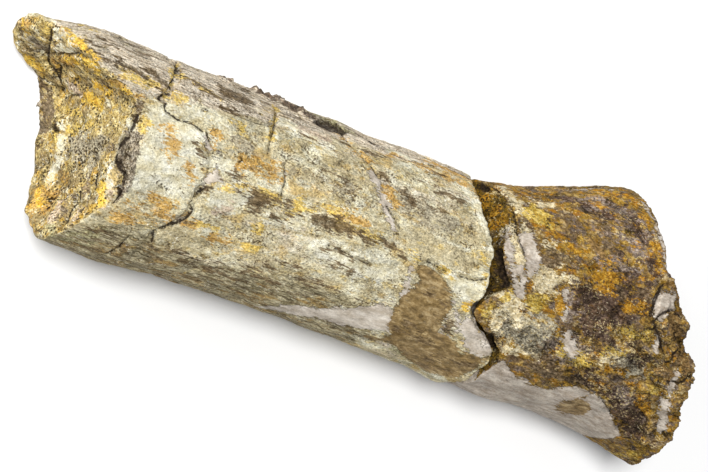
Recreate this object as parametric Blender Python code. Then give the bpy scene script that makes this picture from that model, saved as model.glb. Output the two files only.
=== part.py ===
"""Section of a large fossil limb bone, lying on its side.

The bone runs along X with its flared end at +X, its upper flank towards +Y and its
crown towards +Z. It is broken across: the shaft and the flared end are two pieces of
bone, and a plug of filler in the core of the break stands between them.

A place on the bone is given by its distance along the bone and by its angle round it,
in degrees: 0 is the crown, 90 the upper flank, -90 the lower flank and 180 the belly.
All sizes are in millimetres until the points are made.
"""

import math
from dataclasses import dataclass

import bmesh
import bpy
import numpy as np
from mathutils import Vector, noise

MM = 0.001
AROUND = 60
FULL_TURN = 360.0

# Half widths of the bone, as (distance along, size).
UPPER_FLANK = ((-230, 51.0), (-220, 51.0), (-212, 49.5), (-208, 51.0), (-200, 56.0), (-188, 56.5),
               (-140, 55.5), (-60, 55.0), (40, 56.5), (69, 57.5), (102, 64.5), (121, 71.0),
               (140, 79.0), (153, 83.0), (167, 84.5), (240, 80.0))
LOWER_FLANK = ((-230, 62.0), (-177, 62.0), (-139, 61.5), (-109, 58.8), (-77, 57.3), (57, 58.0),
               (97, 60.0), (142, 57.5), (172, 58.0), (205, 64.0), (221, 66.5), (240, 61.0))
CROWN = ((-230, 47.0), (-188, 50.5), (-140, 50.0), (-60, 48.0), (40, 48.8), (80, 51.0),
         (121, 56.0), (153, 60.5), (190, 62.5), (240, 58.0))
BELLY = ((-230, 46.0), (-160, 50.0), (-90, 50.0), (-40, 46.0), (60, 45.0), (110, 47.0),
         (150, 51.0), (215, 51.0), (240, 46.0))
SECTION_POWER = 2.15
REST_DEPTH = 47.0

# Natural relief. Noise is given as (feature size, seed, height).
SWELLS = ((58.0, 3.1, 1.7), (21.0, 7.7, 0.8))
ROUGHNESS = ((15.0, 11.3, 3.4), (8.0, 5.9, 1.6))
ROUGH_SLANT = 0.55
ROUGH_START = (95.0, 125.0)
ROUGH_UPPER_ANGLE = (22.0, 40.0)
ROUGH_LOWEST_ANGLE = -100.0
# Long ridges on the shaft, as (angle, width in degrees, height), and where they fade out.
SHAFT_RIDGES = ((50.0, 13.0, 1.6), (18.0, 16.0, -1.2))
SHAFT_RIDGES_FADE = (40.0, 110.0)

# Edges that run round the bone, as (angle, distance along).
LEFT_RIM = ((-176, -185), (-160, -179), (-146, -173), (-125, -174), (-99, -176), (-80, -181),
            (-71, -180), (-57, -177), (-45, -172), (-39, -169), (-32, -162), (-21, -162), (-14, -160.5),
            (-7, -162), (0, -165), (8, -161), (14, -162), (24, -166), (34, -168), (38, -192),
            (44, -198), (57, -208), (70, -216), (78, -211), (84, -216), (95, -221), (120, -223),
            (135, -220), (147, -209), (154, -194), (167, -189))
CRACK = ((-150, -143), (-90, -141), (-50, -133), (-41, -135), (-33, -127), (-22, -121), (-7, -122),
         (8, -118), (17, -121), (24, -127), (29, -143), (34, -155), (40, -156), (50, -149),
         (61, -147), (90, -145), (150, -144))
BREAK_SHAFT_RIM = ((-160, 66), (-130, 73), (-100, 79), (-80, 83), (-74, 85.5), (-54, 87), (-43, 88.5),
                   (-36, 86), (-30, 77), (-24, 65.5), (-18, 59.5), (-12, 60.5), (-6, 64), (0, 64.5),
                   (8, 64.5), (17, 61), (24, 63), (35, 57), (47, 49.5), (62, 45), (79, 51), (90, 56),
                   (120, 53), (150, 56), (180, 61))
BREAK_END_RIM = ((-160, 69), (-130, 76), (-100, 82.5), (-80, 86.5), (-74, 88.5), (-54, 90), (-43, 91.5),
                 (-36, 90), (-30, 80.4), (-24, 67.4), (-18, 60.9), (-12, 61.9), (-6, 66), (0, 71),
                 (6, 77), (12, 74), (18, 71), (25, 67.5), (33, 64.5), (40, 73), (50, 71.5), (62, 68),
                 (77, 66.5), (90, 61.5), (120, 57), (150, 60), (180, 64.5))
RIGHT_RIM = ((-150, 205), (-130, 213), (-110, 222), (-95, 228), (-80, 227), (-72, 221), (-57, 219),
             (-47, 218), (-33, 217), (-24, 209), (-12, 208), (-2, 204), (4, 200), (8, 191),
             (15, 192), (22, 189), (26, 180), (31, 184), (37, 174), (41, 167.5), (48, 168.5),
             (59, 162), (67, 163), (80, 159), (100, 164), (120, 172), (150, 187), (180, 198))

# The break's inner face leans back towards the lower flank.
BREAK_MIDDLE = 62.0
BREAK_LEAN = -0.28
BREAK_TILT = 0.04
BREAK_WAVES = ((17.0, 8.8, 1.6),)
BREAK_GAP = 8.0
FILLER_REACH = 0.62
FILLER_CLEARANCE = 0.4

CRACK_HALF_WIDTH = 2.2
CRACK_DEPTH = 2.4
CRACK_FIRST_ANGLE = -55.0
CRACK_LAST_ANGLE = 88.0

# The left face, as (distance across, distance along at the crown's side, lean).
LEFT_FACE = ((-64, -181, 0.12), (-50, -177, 0.10), (-40, -172, 0.10), (-20, -168, 0.12),
             (0, -169.5, 0.14), (15, -171, 0.16), (27, -175, 0.20), (32, -190, 0.20),
             (36, -197, 0.28), (44, -209, 0.50), (50, -216, 0.60))
LEFT_FACE_END = -222.0
LEFT_FACE_PITS = ((14.0, 4.4, 3.2), (7.0, 9.1, 2.2))
# The crown's own height and half width at the left face.
LEFT_CROWN_ALONG = -190.0
LEFT_CROWN_HALF_WIDTH = 60.0
# The rim's wall starts at this reach, and further in at the spur, between two angles.
LEFT_WALL = 0.88
SPUR_WALL_THINNING = 0.26
SPUR_ANGLES = (88.0, 146.0)
SPUR_FADE = 8.0
CORTEX_SEAM = 0.87
CORTEX_SEAM_WIDTH = 0.022
CORTEX_SEAM_DEPTH = 7.0
# Where the seam in the cortex is open, as (first angle, last angle, fade, how far open).
SEAM_OPENINGS = ((-30.0, 10.0, 5.0, 1.0), (16.0, 32.0, 4.0, 0.4))

# The right face leans back towards the upper flank.
RIGHT_FACE_MIDDLE = 191.0
RIGHT_FACE_LEAN = -0.46
RIGHT_FACE_TILT = 0.04
RIGHT_FACE_PITS = ((19.0, 1.7, 5.0), (8.0, 6.2, 2.4))
RIGHT_WALL = (0.70, 0.98)


@dataclass(frozen=True)
class Lump:
    """A rounded rise or, with a negative height, a hollow on the outer surface."""

    along: float
    angle: float
    length: float
    width: float
    height: float


@dataclass(frozen=True)
class Furrow:
    """A groove or, with a negative depth, a ridge across a broken face."""

    path: tuple
    width: float
    depth: float


LEFT_FACE_FURROWS = (
    Furrow(((49, 16), (39, 3), (30, -27), (24, -34), (14, -33)), 3.8, 8.0),
    Furrow(((0, -26), (-5, -21), (-13, -26), (-26, -25)), 4.0, -4.5),
    Furrow(((-34, 13), (-39, 15), (-45, 21), (-48, 24)), 2.6, 4.0),
    Furrow(((-20, 17), (-26, 23), (-32, 23)), 2.6, 3.5),
    Furrow(((-28, -15), (-34, -5), (-39, -7), (-52, 1)), 2.8, 4.5),
    Furrow(((-21, 26), (-25, 33), (-31, 37)), 2.6, -3.0),
    Furrow(((8, -36), (-10, -40)), 6.0, 4.0),
    Furrow(((-39, -15), (-45, -18)), 8.0, -3.0),
    Furrow(((7, -18), (7, -20)), 3.2, 5.0),
    Furrow(((25, 30), (20, 44)), 4.0, 3.0),
)
CRUST = (
    Lump(-108, 80, 6, 5, 1.3),
    Lump(-88, 86, 16, 8, 1.4),
    Lump(-70, 84, 10, 8, 3.2),
    Lump(-41, 80, 15, 9, 3.8),
    Lump(-46, 70, 10, 4, -2.4),
)
END_CHUNKS = (
    Lump(174, 35, 8, 9, 3.0),
    Lump(187, 18, 8, 10, 3.6),
    Lump(183, 27, 5, 6, -3.5),
    Lump(201, 0, 7, 9, 4.0),
    Lump(193, 9, 4, 6, -2.5),
    Lump(208, -22, 8, 11, 2.6),
    Lump(212, -52, 9, 14, 3.0),
    Lump(208, -36, 6, 8, -2.5),
    Lump(216, -76, 8, 12, 2.5),
    Lump(150, -55, 26, 14, -2.2),
    Lump(185, -24, 14, 12, -2.6),
    Lump(112, 4, 9, 8, -1.8),
    Lump(140, 10, 12, 9, -2.4),
    Lump(160, -8, 10, 9, 2.0),
    Lump(104, 60, 14, 10, 1.8),
)


def smooth_step(low, high, value):
    """Return 0 below low, 1 above high and a smooth rise between them."""
    part = min(max((value - low) / (high - low), 0.0), 1.0)
    return part * part * (3.0 - 2.0 * part)


def between(first, last, value, fade):
    """Return 1 between first and last and fade to 0 outside them."""
    return smooth_step(first - fade, first, value) * (1.0 - smooth_step(last, last + fade, value))


def profile(points, along):
    """Read a size from a list of (distance along, size)."""
    places, sizes = zip(*points)
    return float(np.interp(along, places, sizes))


def edge(points, angle):
    """Read where an edge that runs round the bone lies at an angle."""
    angles, places = zip(*points)
    return float(np.interp(angle, angles, places, period=FULL_TURN))


def angle_between(first, second):
    """Return the shorter way round between two angles."""
    return abs((first - second + 180.0) % FULL_TURN - 180.0)


def plain_radius(along, angle):
    """Return the bone's radius without its relief: four quarter ovals."""
    sine = math.sin(math.radians(angle))
    cosine = math.cos(math.radians(angle))
    side = profile(UPPER_FLANK if sine > 0 else LOWER_FLANK, along)
    height = profile(CROWN if cosine > 0 else BELLY, along)
    total = abs(sine / side) ** SECTION_POWER + abs(cosine / height) ** SECTION_POWER
    return total ** (-1.0 / SECTION_POWER)


def lumps_at(lumps, along, angle):
    """Return the height that a group of lumps adds at a place."""
    total = 0.0
    for lump in lumps:
        down = (along - lump.along) / lump.length
        across = angle_between(angle, lump.angle) / lump.width
        total += lump.height * math.exp(-(down * down + across * across))
    return total


def grain(layers, along, angle, radius):
    """Return the height of layers of smooth noise at a place on the surface."""
    across = radius * math.sin(math.radians(angle))
    up = radius * math.cos(math.radians(angle))
    total = 0.0
    for size, seed, height in layers:
        total += height * noise.noise(Vector((along / size + seed, across / size, up / size - seed)))
    return total


def face_grain(layers, across, up):
    """Return the depth of layers of smooth noise at a place on a broken face."""
    total = 0.0
    for size, seed, depth in layers:
        total += depth * noise.noise(Vector((across / size, up / size, seed)))
    return total


def relief(along, angle, radius):
    """Return the height of the natural relief at a place."""
    height = grain(SWELLS, along, angle, radius)
    shaft = 1.0 - smooth_step(*SHAFT_RIDGES_FADE, along)
    for middle, width, rise in SHAFT_RIDGES:
        height += shaft * rise * math.exp(-((angle - middle) / width) ** 2)
    height += lumps_at(CRUST, along, angle)
    height += lumps_at(END_CHUNKS, along, angle)
    if angle > ROUGH_LOWEST_ANGLE:
        rough = smooth_step(*ROUGH_START, along - ROUGH_SLANT * angle)
        rough *= 1.0 - smooth_step(*ROUGH_UPPER_ANGLE, angle)
        height += rough * grain(ROUGHNESS, along, angle, radius)
    return height


def outer_radius(along, angle):
    """Return the finished radius of the bone at a place."""
    radius = plain_radius(along, angle)
    return radius + relief(along, angle, radius)


def point(along, angle, radius):
    """Return a point of the bone in metres, kept above the surface it rests on."""
    across = radius * math.sin(math.radians(angle))
    up = max(radius * math.cos(math.radians(angle)), -REST_DEPTH)
    return Vector((along * MM, across * MM, up * MM))


def ring_angles():
    """Return the angles of a ring's points, from the belly round to the belly."""
    return [-180.0 + FULL_TURN * step / AROUND for step in range(AROUND)]


def station(place_at, drop_at=None):
    """Make one ring on the outer surface.

    place_at gives the distance along at an angle, and drop_at a depth below the surface.
    """
    ring = []
    for angle in ring_angles():
        along = place_at(angle)
        radius = outer_radius(along, angle)
        if drop_at:
            radius -= drop_at(along, angle)
        ring.append(point(along, angle, radius))
    return ring


def stations_between(first, last, steps, drop_at=None):
    """Make the rings between two edges, both left out, at steps from 0 to 1."""
    rings = []
    for share in steps:
        def place_at(angle, share=share):
            return first(angle) * (1.0 - share) + last(angle) * share
        rings.append(station(place_at, drop_at))
    return rings


def distance_to_path(path, across, up):
    """Return how far a point of a face lies from a path of straight runs."""
    nearest = math.inf
    for (from_across, from_up), (to_across, to_up) in zip(path, path[1:]):
        run = Vector((to_across - from_across, to_up - from_up))
        away = Vector((across - from_across, up - from_up))
        share = min(max(away.dot(run) / run.length_squared, 0.0), 1.0)
        nearest = min(nearest, (away - run * share).length)
    return nearest


def left_face(across, up, reach, angle):
    """Return where the spongy broken face at the left end lies."""
    places, starts, leans = zip(*LEFT_FACE)
    bow = math.sqrt(max(1.0 - (across / LEFT_CROWN_HALF_WIDTH) ** 2, 0.02))
    crown_up = plain_radius(LEFT_CROWN_ALONG, 0.0) * bow
    floor = float(np.interp(across, places, starts))
    floor += float(np.interp(across, places, leans)) * (up - crown_up)
    floor = max(floor, LEFT_FACE_END) + face_grain(LEFT_FACE_PITS, across, up)
    for furrow in LEFT_FACE_FURROWS:
        away = distance_to_path(furrow.path, across, up) / furrow.width
        floor += furrow.depth * math.exp(-away * away)
    wall = LEFT_WALL - SPUR_WALL_THINNING * between(*SPUR_ANGLES, angle, SPUR_FADE)
    place = floor + (edge(LEFT_RIM, angle) - floor) * smooth_step(wall, 1.0, reach)
    seam = math.exp(-((reach - CORTEX_SEAM) / CORTEX_SEAM_WIDTH) ** 2)
    for first, last, fade, share in SEAM_OPENINGS:
        place += CORTEX_SEAM_DEPTH * seam * share * between(first, last, angle, fade)
    return place


def right_face(across, up, reach, angle):
    """Return where the broken face at the flared end lies."""
    floor = RIGHT_FACE_MIDDLE + RIGHT_FACE_LEAN * across + RIGHT_FACE_TILT * up
    floor += face_grain(RIGHT_FACE_PITS, across, up)
    return floor + (edge(RIGHT_RIM, angle) - floor) * smooth_step(*RIGHT_WALL, reach)


def break_floor(across, up):
    """Return where the shaft's side of the break lies in the core."""
    waves = face_grain(BREAK_WAVES, across, up)
    return BREAK_MIDDLE + BREAK_LEAN * across + BREAK_TILT * up + waves


def break_shaft_face(across, up, reach, angle):
    """Return the shaft's side of the break."""
    floor = break_floor(across, up)
    return floor + (edge(BREAK_SHAFT_RIM, angle) - floor) * smooth_step(FILLER_REACH, 1.0, reach)


def break_end_face(across, up, reach, angle):
    """Return the flared end's side of the break."""
    floor = break_floor(across, up) + BREAK_GAP
    return floor + (edge(BREAK_END_RIM, angle) - floor) * smooth_step(FILLER_REACH, 1.0, reach)


def core_radius(angle):
    """Return the radius that the break's two inner faces share."""
    return plain_radius(BREAK_MIDDLE + BREAK_LEAN * 50.0 * math.sin(math.radians(angle)), angle)


def face_rings(face_at, radius_at, reaches):
    """Make the rings of a broken end face, from the first reach to the last."""
    rings = []
    for reach in reaches:
        ring = []
        for angle in ring_angles():
            radius = radius_at(angle) * reach
            across = radius * math.sin(math.radians(angle))
            up = max(radius * math.cos(math.radians(angle)), -REST_DEPTH)
            ring.append(Vector((face_at(across, up, reach, angle) * MM, across * MM, up * MM)))
        rings.append(ring)
    return rings


def loft(name, rings, first_centre, last_centre, material, collection):
    """Make one closed solid from rings of points, closed by a fan at each end."""
    mesh_maker = bmesh.new()
    loops = [[mesh_maker.verts.new(place) for place in ring] for ring in rings]
    for near, far in zip(loops, loops[1:]):
        for step in range(AROUND):
            after = (step + 1) % AROUND
            mesh_maker.faces.new((near[step], near[after], far[after], far[step]))
    for loop, place in ((loops[0], first_centre), (loops[-1], last_centre)):
        centre = mesh_maker.verts.new(place)
        for step in range(AROUND):
            mesh_maker.faces.new((loop[step], loop[(step + 1) % AROUND], centre))
    bmesh.ops.triangulate(mesh_maker, faces=mesh_maker.faces[:])
    bmesh.ops.recalc_face_normals(mesh_maker, faces=mesh_maker.faces[:])
    mesh = bpy.data.meshes.new(name)
    mesh_maker.to_mesh(mesh)
    mesh_maker.free()
    mesh.shade_smooth()
    mesh.set_sharp_from_angle(angle=math.radians(40.0))
    mesh.materials.append(material)
    solid = bpy.data.objects.new(name, mesh)
    collection.objects.link(solid)
    return solid


def face_centre(face_at):
    """Return the middle point of a broken end face."""
    return Vector((face_at(0.0, 0.0, 0.0, 0.0) * MM, 0.0, 0.0))


def make_material(name, colour, roughness):
    """Make a plain material with the part's own colour."""
    material = bpy.data.materials.new(name)
    material.use_nodes = True
    shader = material.node_tree.nodes["Principled BSDF"]
    shader.inputs["Base Color"].default_value = (*colour, 1.0)
    shader.inputs["Roughness"].default_value = roughness
    shader.inputs["Metallic"].default_value = 0.0
    return material


def crack_drop(along, angle):
    """Return how deep the long crack is cut at its own line."""
    return CRACK_DEPTH * between(CRACK_FIRST_ANGLE, CRACK_LAST_ANGLE, angle, 12.0)


def make_shaft(collection):
    """Make the shaft, from the spongy left face to the break."""
    def left_rim(angle):
        return edge(LEFT_RIM, angle)

    def crack(angle):
        return edge(CRACK, angle)

    def before_crack(angle):
        return crack(angle) - CRACK_HALF_WIDTH

    def after_crack(angle):
        return crack(angle) + CRACK_HALF_WIDTH

    def break_rim(angle):
        return edge(BREAK_SHAFT_RIM, angle)

    def left_radius(angle):
        return outer_radius(left_rim(angle), angle)

    face_steps = (0.14, 0.28, 0.41, 0.53, 0.64, 0.74, 0.82, CORTEX_SEAM, 0.91, 0.96)
    rings = face_rings(left_face, left_radius, face_steps)
    rings.append(station(left_rim))
    rings += stations_between(left_rim, before_crack, (0.10, 0.30, 0.55, 0.80))
    rings.append(station(before_crack))
    rings.append(station(crack, crack_drop))
    rings.append(station(after_crack))
    shaft_steps = [0.035, 0.08] + [0.13 + 0.056 * step for step in range(15)] + [0.965]
    rings += stations_between(after_crack, break_rim, shaft_steps)
    rings.append(station(break_rim))
    rings += face_rings(break_shaft_face, core_radius, (0.94, 0.80, 0.62, 0.32))
    material = make_material("cream fossil cortex", (0.60, 0.52, 0.36), 0.82)
    return loft("shaft_section", rings, face_centre(left_face), face_centre(break_shaft_face),
                material, collection)


def make_flared_end(collection):
    """Make the flared end, from the break to the chunky right rim."""
    def break_rim(angle):
        return edge(BREAK_END_RIM, angle)

    def right_rim(angle):
        return edge(RIGHT_RIM, angle)

    def right_radius(angle):
        return outer_radius(right_rim(angle), angle)

    rings = face_rings(break_end_face, core_radius, (0.32, 0.62, 0.80, 0.94))
    rings.append(station(break_rim))
    end_steps = [0.04] + [0.10 + 0.062 * step for step in range(14)] + [0.965]
    rings += stations_between(break_rim, right_rim, end_steps)
    rings.append(station(right_rim))
    rings += face_rings(right_face, right_radius, (0.95, 0.85, 0.70, 0.52, 0.28))
    material = make_material("rust fossil bone", (0.33, 0.20, 0.09), 0.85)
    return loft("flared_end_section", rings, face_centre(break_end_face), face_centre(right_face),
                material, collection)


def make_filler(collection):
    """Make the plug of filler in the core of the break."""
    def shaft_side(across, up, reach, angle):
        return break_floor(across, up) + FILLER_CLEARANCE

    def end_side(across, up, reach, angle):
        return break_floor(across, up) + BREAK_GAP - FILLER_CLEARANCE

    rings = face_rings(shaft_side, core_radius, (0.32, 0.62))
    rings += face_rings(end_side, core_radius, (0.62, 0.32))
    material = make_material("grey filler", (0.46, 0.40, 0.37), 0.9)
    return loft("joint_filler", rings, face_centre(shaft_side), face_centre(end_side),
                material, collection)


def stand_on_origin(solids):
    """Move the solids together, so that their box stands with its base on the origin."""
    corners = [vertex.co for solid in solids for vertex in solid.data.vertices]
    lowest = Vector([min(corner[axis] for corner in corners) for axis in range(3)])
    highest = Vector([max(corner[axis] for corner in corners) for axis in range(3)])
    shift = Vector((-(lowest.x + highest.x) / 2.0, -(lowest.y + highest.y) / 2.0, -lowest.z))
    for solid in solids:
        solid.location = shift


def main():
    """Build the bone section."""
    for leftover in list(bpy.data.objects):
        bpy.data.objects.remove(leftover, do_unlink=True)
    collection = bpy.data.collections.new("fossil bone section")
    bpy.context.scene.collection.children.link(collection)
    solids = [make_shaft(collection), make_flared_end(collection), make_filler(collection)]
    stand_on_origin(solids)


main()
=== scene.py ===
"""Visual model of a section of fossil limb bone, lying on a pale studio floor.

The bone is two pieces of mineralised bone, the cream shaft and the rust-coloured flared
end, with a plug of the mender's filler between them. Each piece starts as the frame's own
solid, is made fine and smooth, is carved with its cracks, pores and flaked cortex, and
then carries its stains as fields on its surface, which its finish reads.

A place on the bone is also given by its distance along the bone and its angle round it:
0 is the crown, 90 the upper flank, -90 the lower flank and 180 the belly.
"""

import logging
import math
from dataclasses import dataclass
from enum import Enum

import bmesh
import bpy
import numpy as np
from mathutils import Matrix, Vector, noise
from mathutils.bvhtree import BVHTree


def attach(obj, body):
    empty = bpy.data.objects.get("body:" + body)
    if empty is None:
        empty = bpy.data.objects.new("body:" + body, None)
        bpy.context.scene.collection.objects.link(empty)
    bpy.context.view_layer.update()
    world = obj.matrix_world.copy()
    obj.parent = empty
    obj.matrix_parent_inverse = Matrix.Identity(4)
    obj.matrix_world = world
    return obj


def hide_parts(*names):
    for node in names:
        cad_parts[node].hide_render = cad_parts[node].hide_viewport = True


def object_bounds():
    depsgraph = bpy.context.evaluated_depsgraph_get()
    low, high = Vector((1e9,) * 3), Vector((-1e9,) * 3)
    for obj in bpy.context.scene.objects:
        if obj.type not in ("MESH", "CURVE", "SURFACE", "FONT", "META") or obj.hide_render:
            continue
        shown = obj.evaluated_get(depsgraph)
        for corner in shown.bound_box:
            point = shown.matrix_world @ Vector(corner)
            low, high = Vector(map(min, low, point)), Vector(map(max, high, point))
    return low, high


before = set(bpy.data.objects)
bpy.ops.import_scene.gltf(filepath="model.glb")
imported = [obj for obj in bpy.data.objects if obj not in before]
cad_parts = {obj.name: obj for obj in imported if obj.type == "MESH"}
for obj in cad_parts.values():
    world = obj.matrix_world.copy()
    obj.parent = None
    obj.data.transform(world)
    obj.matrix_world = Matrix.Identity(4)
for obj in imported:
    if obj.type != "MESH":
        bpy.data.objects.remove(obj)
CAD_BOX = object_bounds()

Colour = tuple[float, float, float]
Pixels = tuple[tuple[float, float], ...]

MM = 0.001
TINY = 1e-9

# Where the bone's axis runs, and the radius in millimetres at which its skin is unrolled.
BONE_AXIS = Vector((-0.00228, -0.00809, 0.047))
SKIN_RADIUS = 55.0

# How noise is drawn out along the bone, for its flakes and for its fibres.
SLIM = np.array((0.35, 1.0, 1.0))
FIBRE = np.array((0.1, 1.0, 1.0))

# A block of rubble: its crevice as a share of its width, and the parts of its height.
CREVICE_WIDTH = 0.2
BLOCK_STEP = 0.8
BLOCK_DOME = 0.9
BLOCK_BASE = -0.7

log = logging.getLogger("fossil bone")


def add_object(name: str, data: bpy.types.ID) -> bpy.types.Object:
    """Return a new object that is in the scene.

    Args:
        name: its name.
        data: its mesh, light or camera.

    Returns:
        The object.
    """
    made = bpy.data.objects.new(name, data)
    bpy.context.scene.collection.objects.link(made)
    return made


def surface_tree(nodes: list[str]) -> BVHTree:
    """Return the frame's solids as one surface that rays can be cast at.

    Args:
        nodes: the names of the solids.

    Returns:
        The surface.
    """
    merged = bmesh.new()
    for name in nodes:
        merged.from_mesh(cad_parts[name].data)
    tree = BVHTree.FromBMesh(merged)
    merged.free()
    return tree


def points_and_normals(mesh: bpy.types.Mesh) -> tuple[np.ndarray, np.ndarray]:
    """Return a mesh's points and their normals.

    Args:
        mesh: the mesh.

    Returns:
        Two arrays with one row a point.
    """
    points = np.empty(len(mesh.vertices) * 3)
    mesh.vertices.foreach_get("co", points)
    normals = np.empty_like(points)
    mesh.vertex_normals.foreach_get("vector", normals)
    return points.reshape(-1, 3), normals.reshape(-1, 3)


class Stain(Enum):
    """What a mark on the bone is, and the name of the field that carries it."""

    CRACK_AND_SHADOW_LINE = "crack_and_shadow_line"
    RIDGE = "ridge"
    RUBBLE = "rubble"
    CRUST = "crust"
    PIT_AND_SHADE = "pit"
    FILLER = "filler_patch"
    BROWN = "brown_patch"
    BARE = "bare_break"
    DARK = "dark_stain"
    YELLOW = "yellow_stain"
    ORANGE = "orange_stain"
    PALE = "pale_skin"
    PURPLE = "purple_crust"
    GREY = "grey_bone"
    GREEN = "green_bone"
    ROSE = "rose_bone"
    GOLD = "gold_bone"
    TAUPE_AND_SHADE = "taupe_bone_and_recess_shade"
    GRIT = "grit"
    UPPER = "upper_band"
    LOWER = "lower_band"


@dataclass(frozen=True)
class Mark:
    """A mark at the photo's pixels: a streak of a half width, or a filled patch if that is 0.

    The width is in pixels too.
    """

    stain: Stain
    pixels: Pixels
    width: float = 0.0


@dataclass(frozen=True)
class Band:
    """Everything on one side of a line of pixels that runs along the bone."""

    stain: Stain
    pixels: Pixels
    above: bool


@dataclass(frozen=True)
class PhotoView:
    """The photo's camera: how far it stands, how it leans and what a pixel measures."""

    distance: float = 1.60
    pixel: float = 0.00056
    lean: float = math.radians(28.0)
    turn: float = math.radians(21.0)
    width: int = 708
    height: int = 472
    middle: tuple[float, float] = (354.0, 237.0)
    sensor: float = 36.0
    near: float = 0.01

    def axes(self) -> tuple[Vector, Vector, Vector]:
        """Return the camera's right, up and forward directions.

        Returns:
            Three unit vectors, square to one another.
        """
        forward = Vector((math.sin(self.lean), 0.0, -math.cos(self.lean)))
        level = Vector((math.cos(self.lean), 0.0, math.sin(self.lean)))
        flank = Vector((0.0, 1.0, 0.0))
        right = math.cos(self.turn) * level + math.sin(self.turn) * flank
        up = -math.sin(self.turn) * level + math.cos(self.turn) * flank
        return right, up, forward

    def eye(self) -> Vector:
        """Return where the camera stands."""
        return BONE_AXIS - self.distance * self.axes()[2]

    def ray(self, across: float, down: float) -> Vector:
        """Return the direction in which a pixel looks.

        Args:
            across: the pixel's column.
            down: the pixel's row.

        Returns:
            A unit vector from the eye.
        """
        right, up, forward = self.axes()
        step = self.pixel / self.distance
        aside = right * ((across - self.middle[0]) * step)
        above = up * ((self.middle[1] - down) * step)
        return (forward + aside + above).normalized()

    def place(self) -> None:
        """Add the camera to the scene and look through it."""
        right, up, forward = self.axes()
        lens = bpy.data.cameras.new("photo camera")
        lens.sensor_width = self.sensor
        lens.lens = self.distance / self.pixel * self.sensor / self.width
        lens.shift_y = (self.middle[1] - self.height / 2.0) / self.width
        lens.clip_start = self.near
        camera = add_object("photo camera", lens)
        turned = Matrix((right, up, -forward)).transposed()
        camera.matrix_world = Matrix.Translation(self.eye()) @ turned.to_4x4()
        bpy.context.scene.camera = camera


VIEW = PhotoView()


def strokes(stain: Stain, *lines: tuple) -> tuple[Mark, ...]:
    """Return marks of one stain. Each line is a half width and then its pixels."""
    return tuple(Mark(stain, line[1:], line[0]) for line in lines)


# Cracks in the bone, with shadow lines under overhanging rims and along facet edges drawn among them; all
# are carved and painted near black for their shade.
CRACK_AND_SHADOW_LINES = strokes(
    Stain.CRACK_AND_SHADOW_LINE,
    (1.1, (170, 55), (175, 61), (178, 68), (177, 78), (169, 93)),
    (1.2, (169, 93), (161, 98), (167, 103), (168, 111)),
    (0.9, (168, 111), (179, 119), (194, 124), (204, 131)),
    (1.1, (203, 188), (197, 194), (192, 203), (191, 212), (187, 217), (178, 223), (166, 227), (156, 230),
     (152, 235), (151, 244)),
    (0.8, (130, 239), (119, 249), (106, 256)),
    (1.4, (137, 116), (132, 129), (124, 140), (116, 151), (116, 161), (121, 173), (119, 181), (117, 187),
     (119, 194), (114, 203)),
    (0.5, (222, 107), (233, 111), (245, 116), (262, 123), (275, 124)),
    (0.6, (278, 108), (277, 124), (272, 140), (270, 153)), (0.5, (286, 164), (287, 180), (283, 196)),
    (0.6, (344, 135), (358, 148), (369, 160), (380, 176)), (0.5, (388, 206), (396, 218), (402, 228)),
    (0.5, (430, 262), (447, 272)), (0.6, (462, 277), (476, 281), (490, 279)),
    (1.4, (95, 172), (92, 184), (87, 198), (83, 207)), (1.5, (78, 190), (74, 203), (66, 220), (62, 226)),
    (1.2, (61, 186), (56, 196), (46, 207)), (1.2, (60, 66), (58, 82), (62, 92)),
    (0.7, (53, 54), (66, 56), (80, 56), (92, 62), (100, 72)),
    (0.6, (60, 86), (68, 96), (80, 95), (90, 86)), (0.5, (100, 74), (120, 84), (134, 92)),
    (1.1, (50, 31), (49, 42), (47, 55), (47, 64), (54, 71), (58, 80)),
    (0.5, (330, 246), (349, 255), (360, 261), (372, 266)), (0.5, (628, 345), (646, 352)),
    (0.5, (521, 240), (526, 254)), (1.0, (491, 184), (503, 195), (512, 209), (517, 224), (519, 234)),
    (0.6, (636, 226), (644, 242)), (1.1, (651, 318), (655, 300), (662, 286)),
    (1.4, (686, 344), (678, 350), (670, 364)), (0.9, (664, 285), (657, 300), (653, 314)),
    (1.3, (655, 322), (662, 314), (672, 309), (681, 314)),
    (1.2, (655, 324), (660, 338), (664, 350), (668, 364)), (1.2, (692, 376), (680, 384), (668, 382)),
    (0.5, (586, 388), (600, 400), (611, 417)), (0.5, (640, 226), (646, 238)),
    (0.6, (208, 132), (212, 146)),
)
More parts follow.
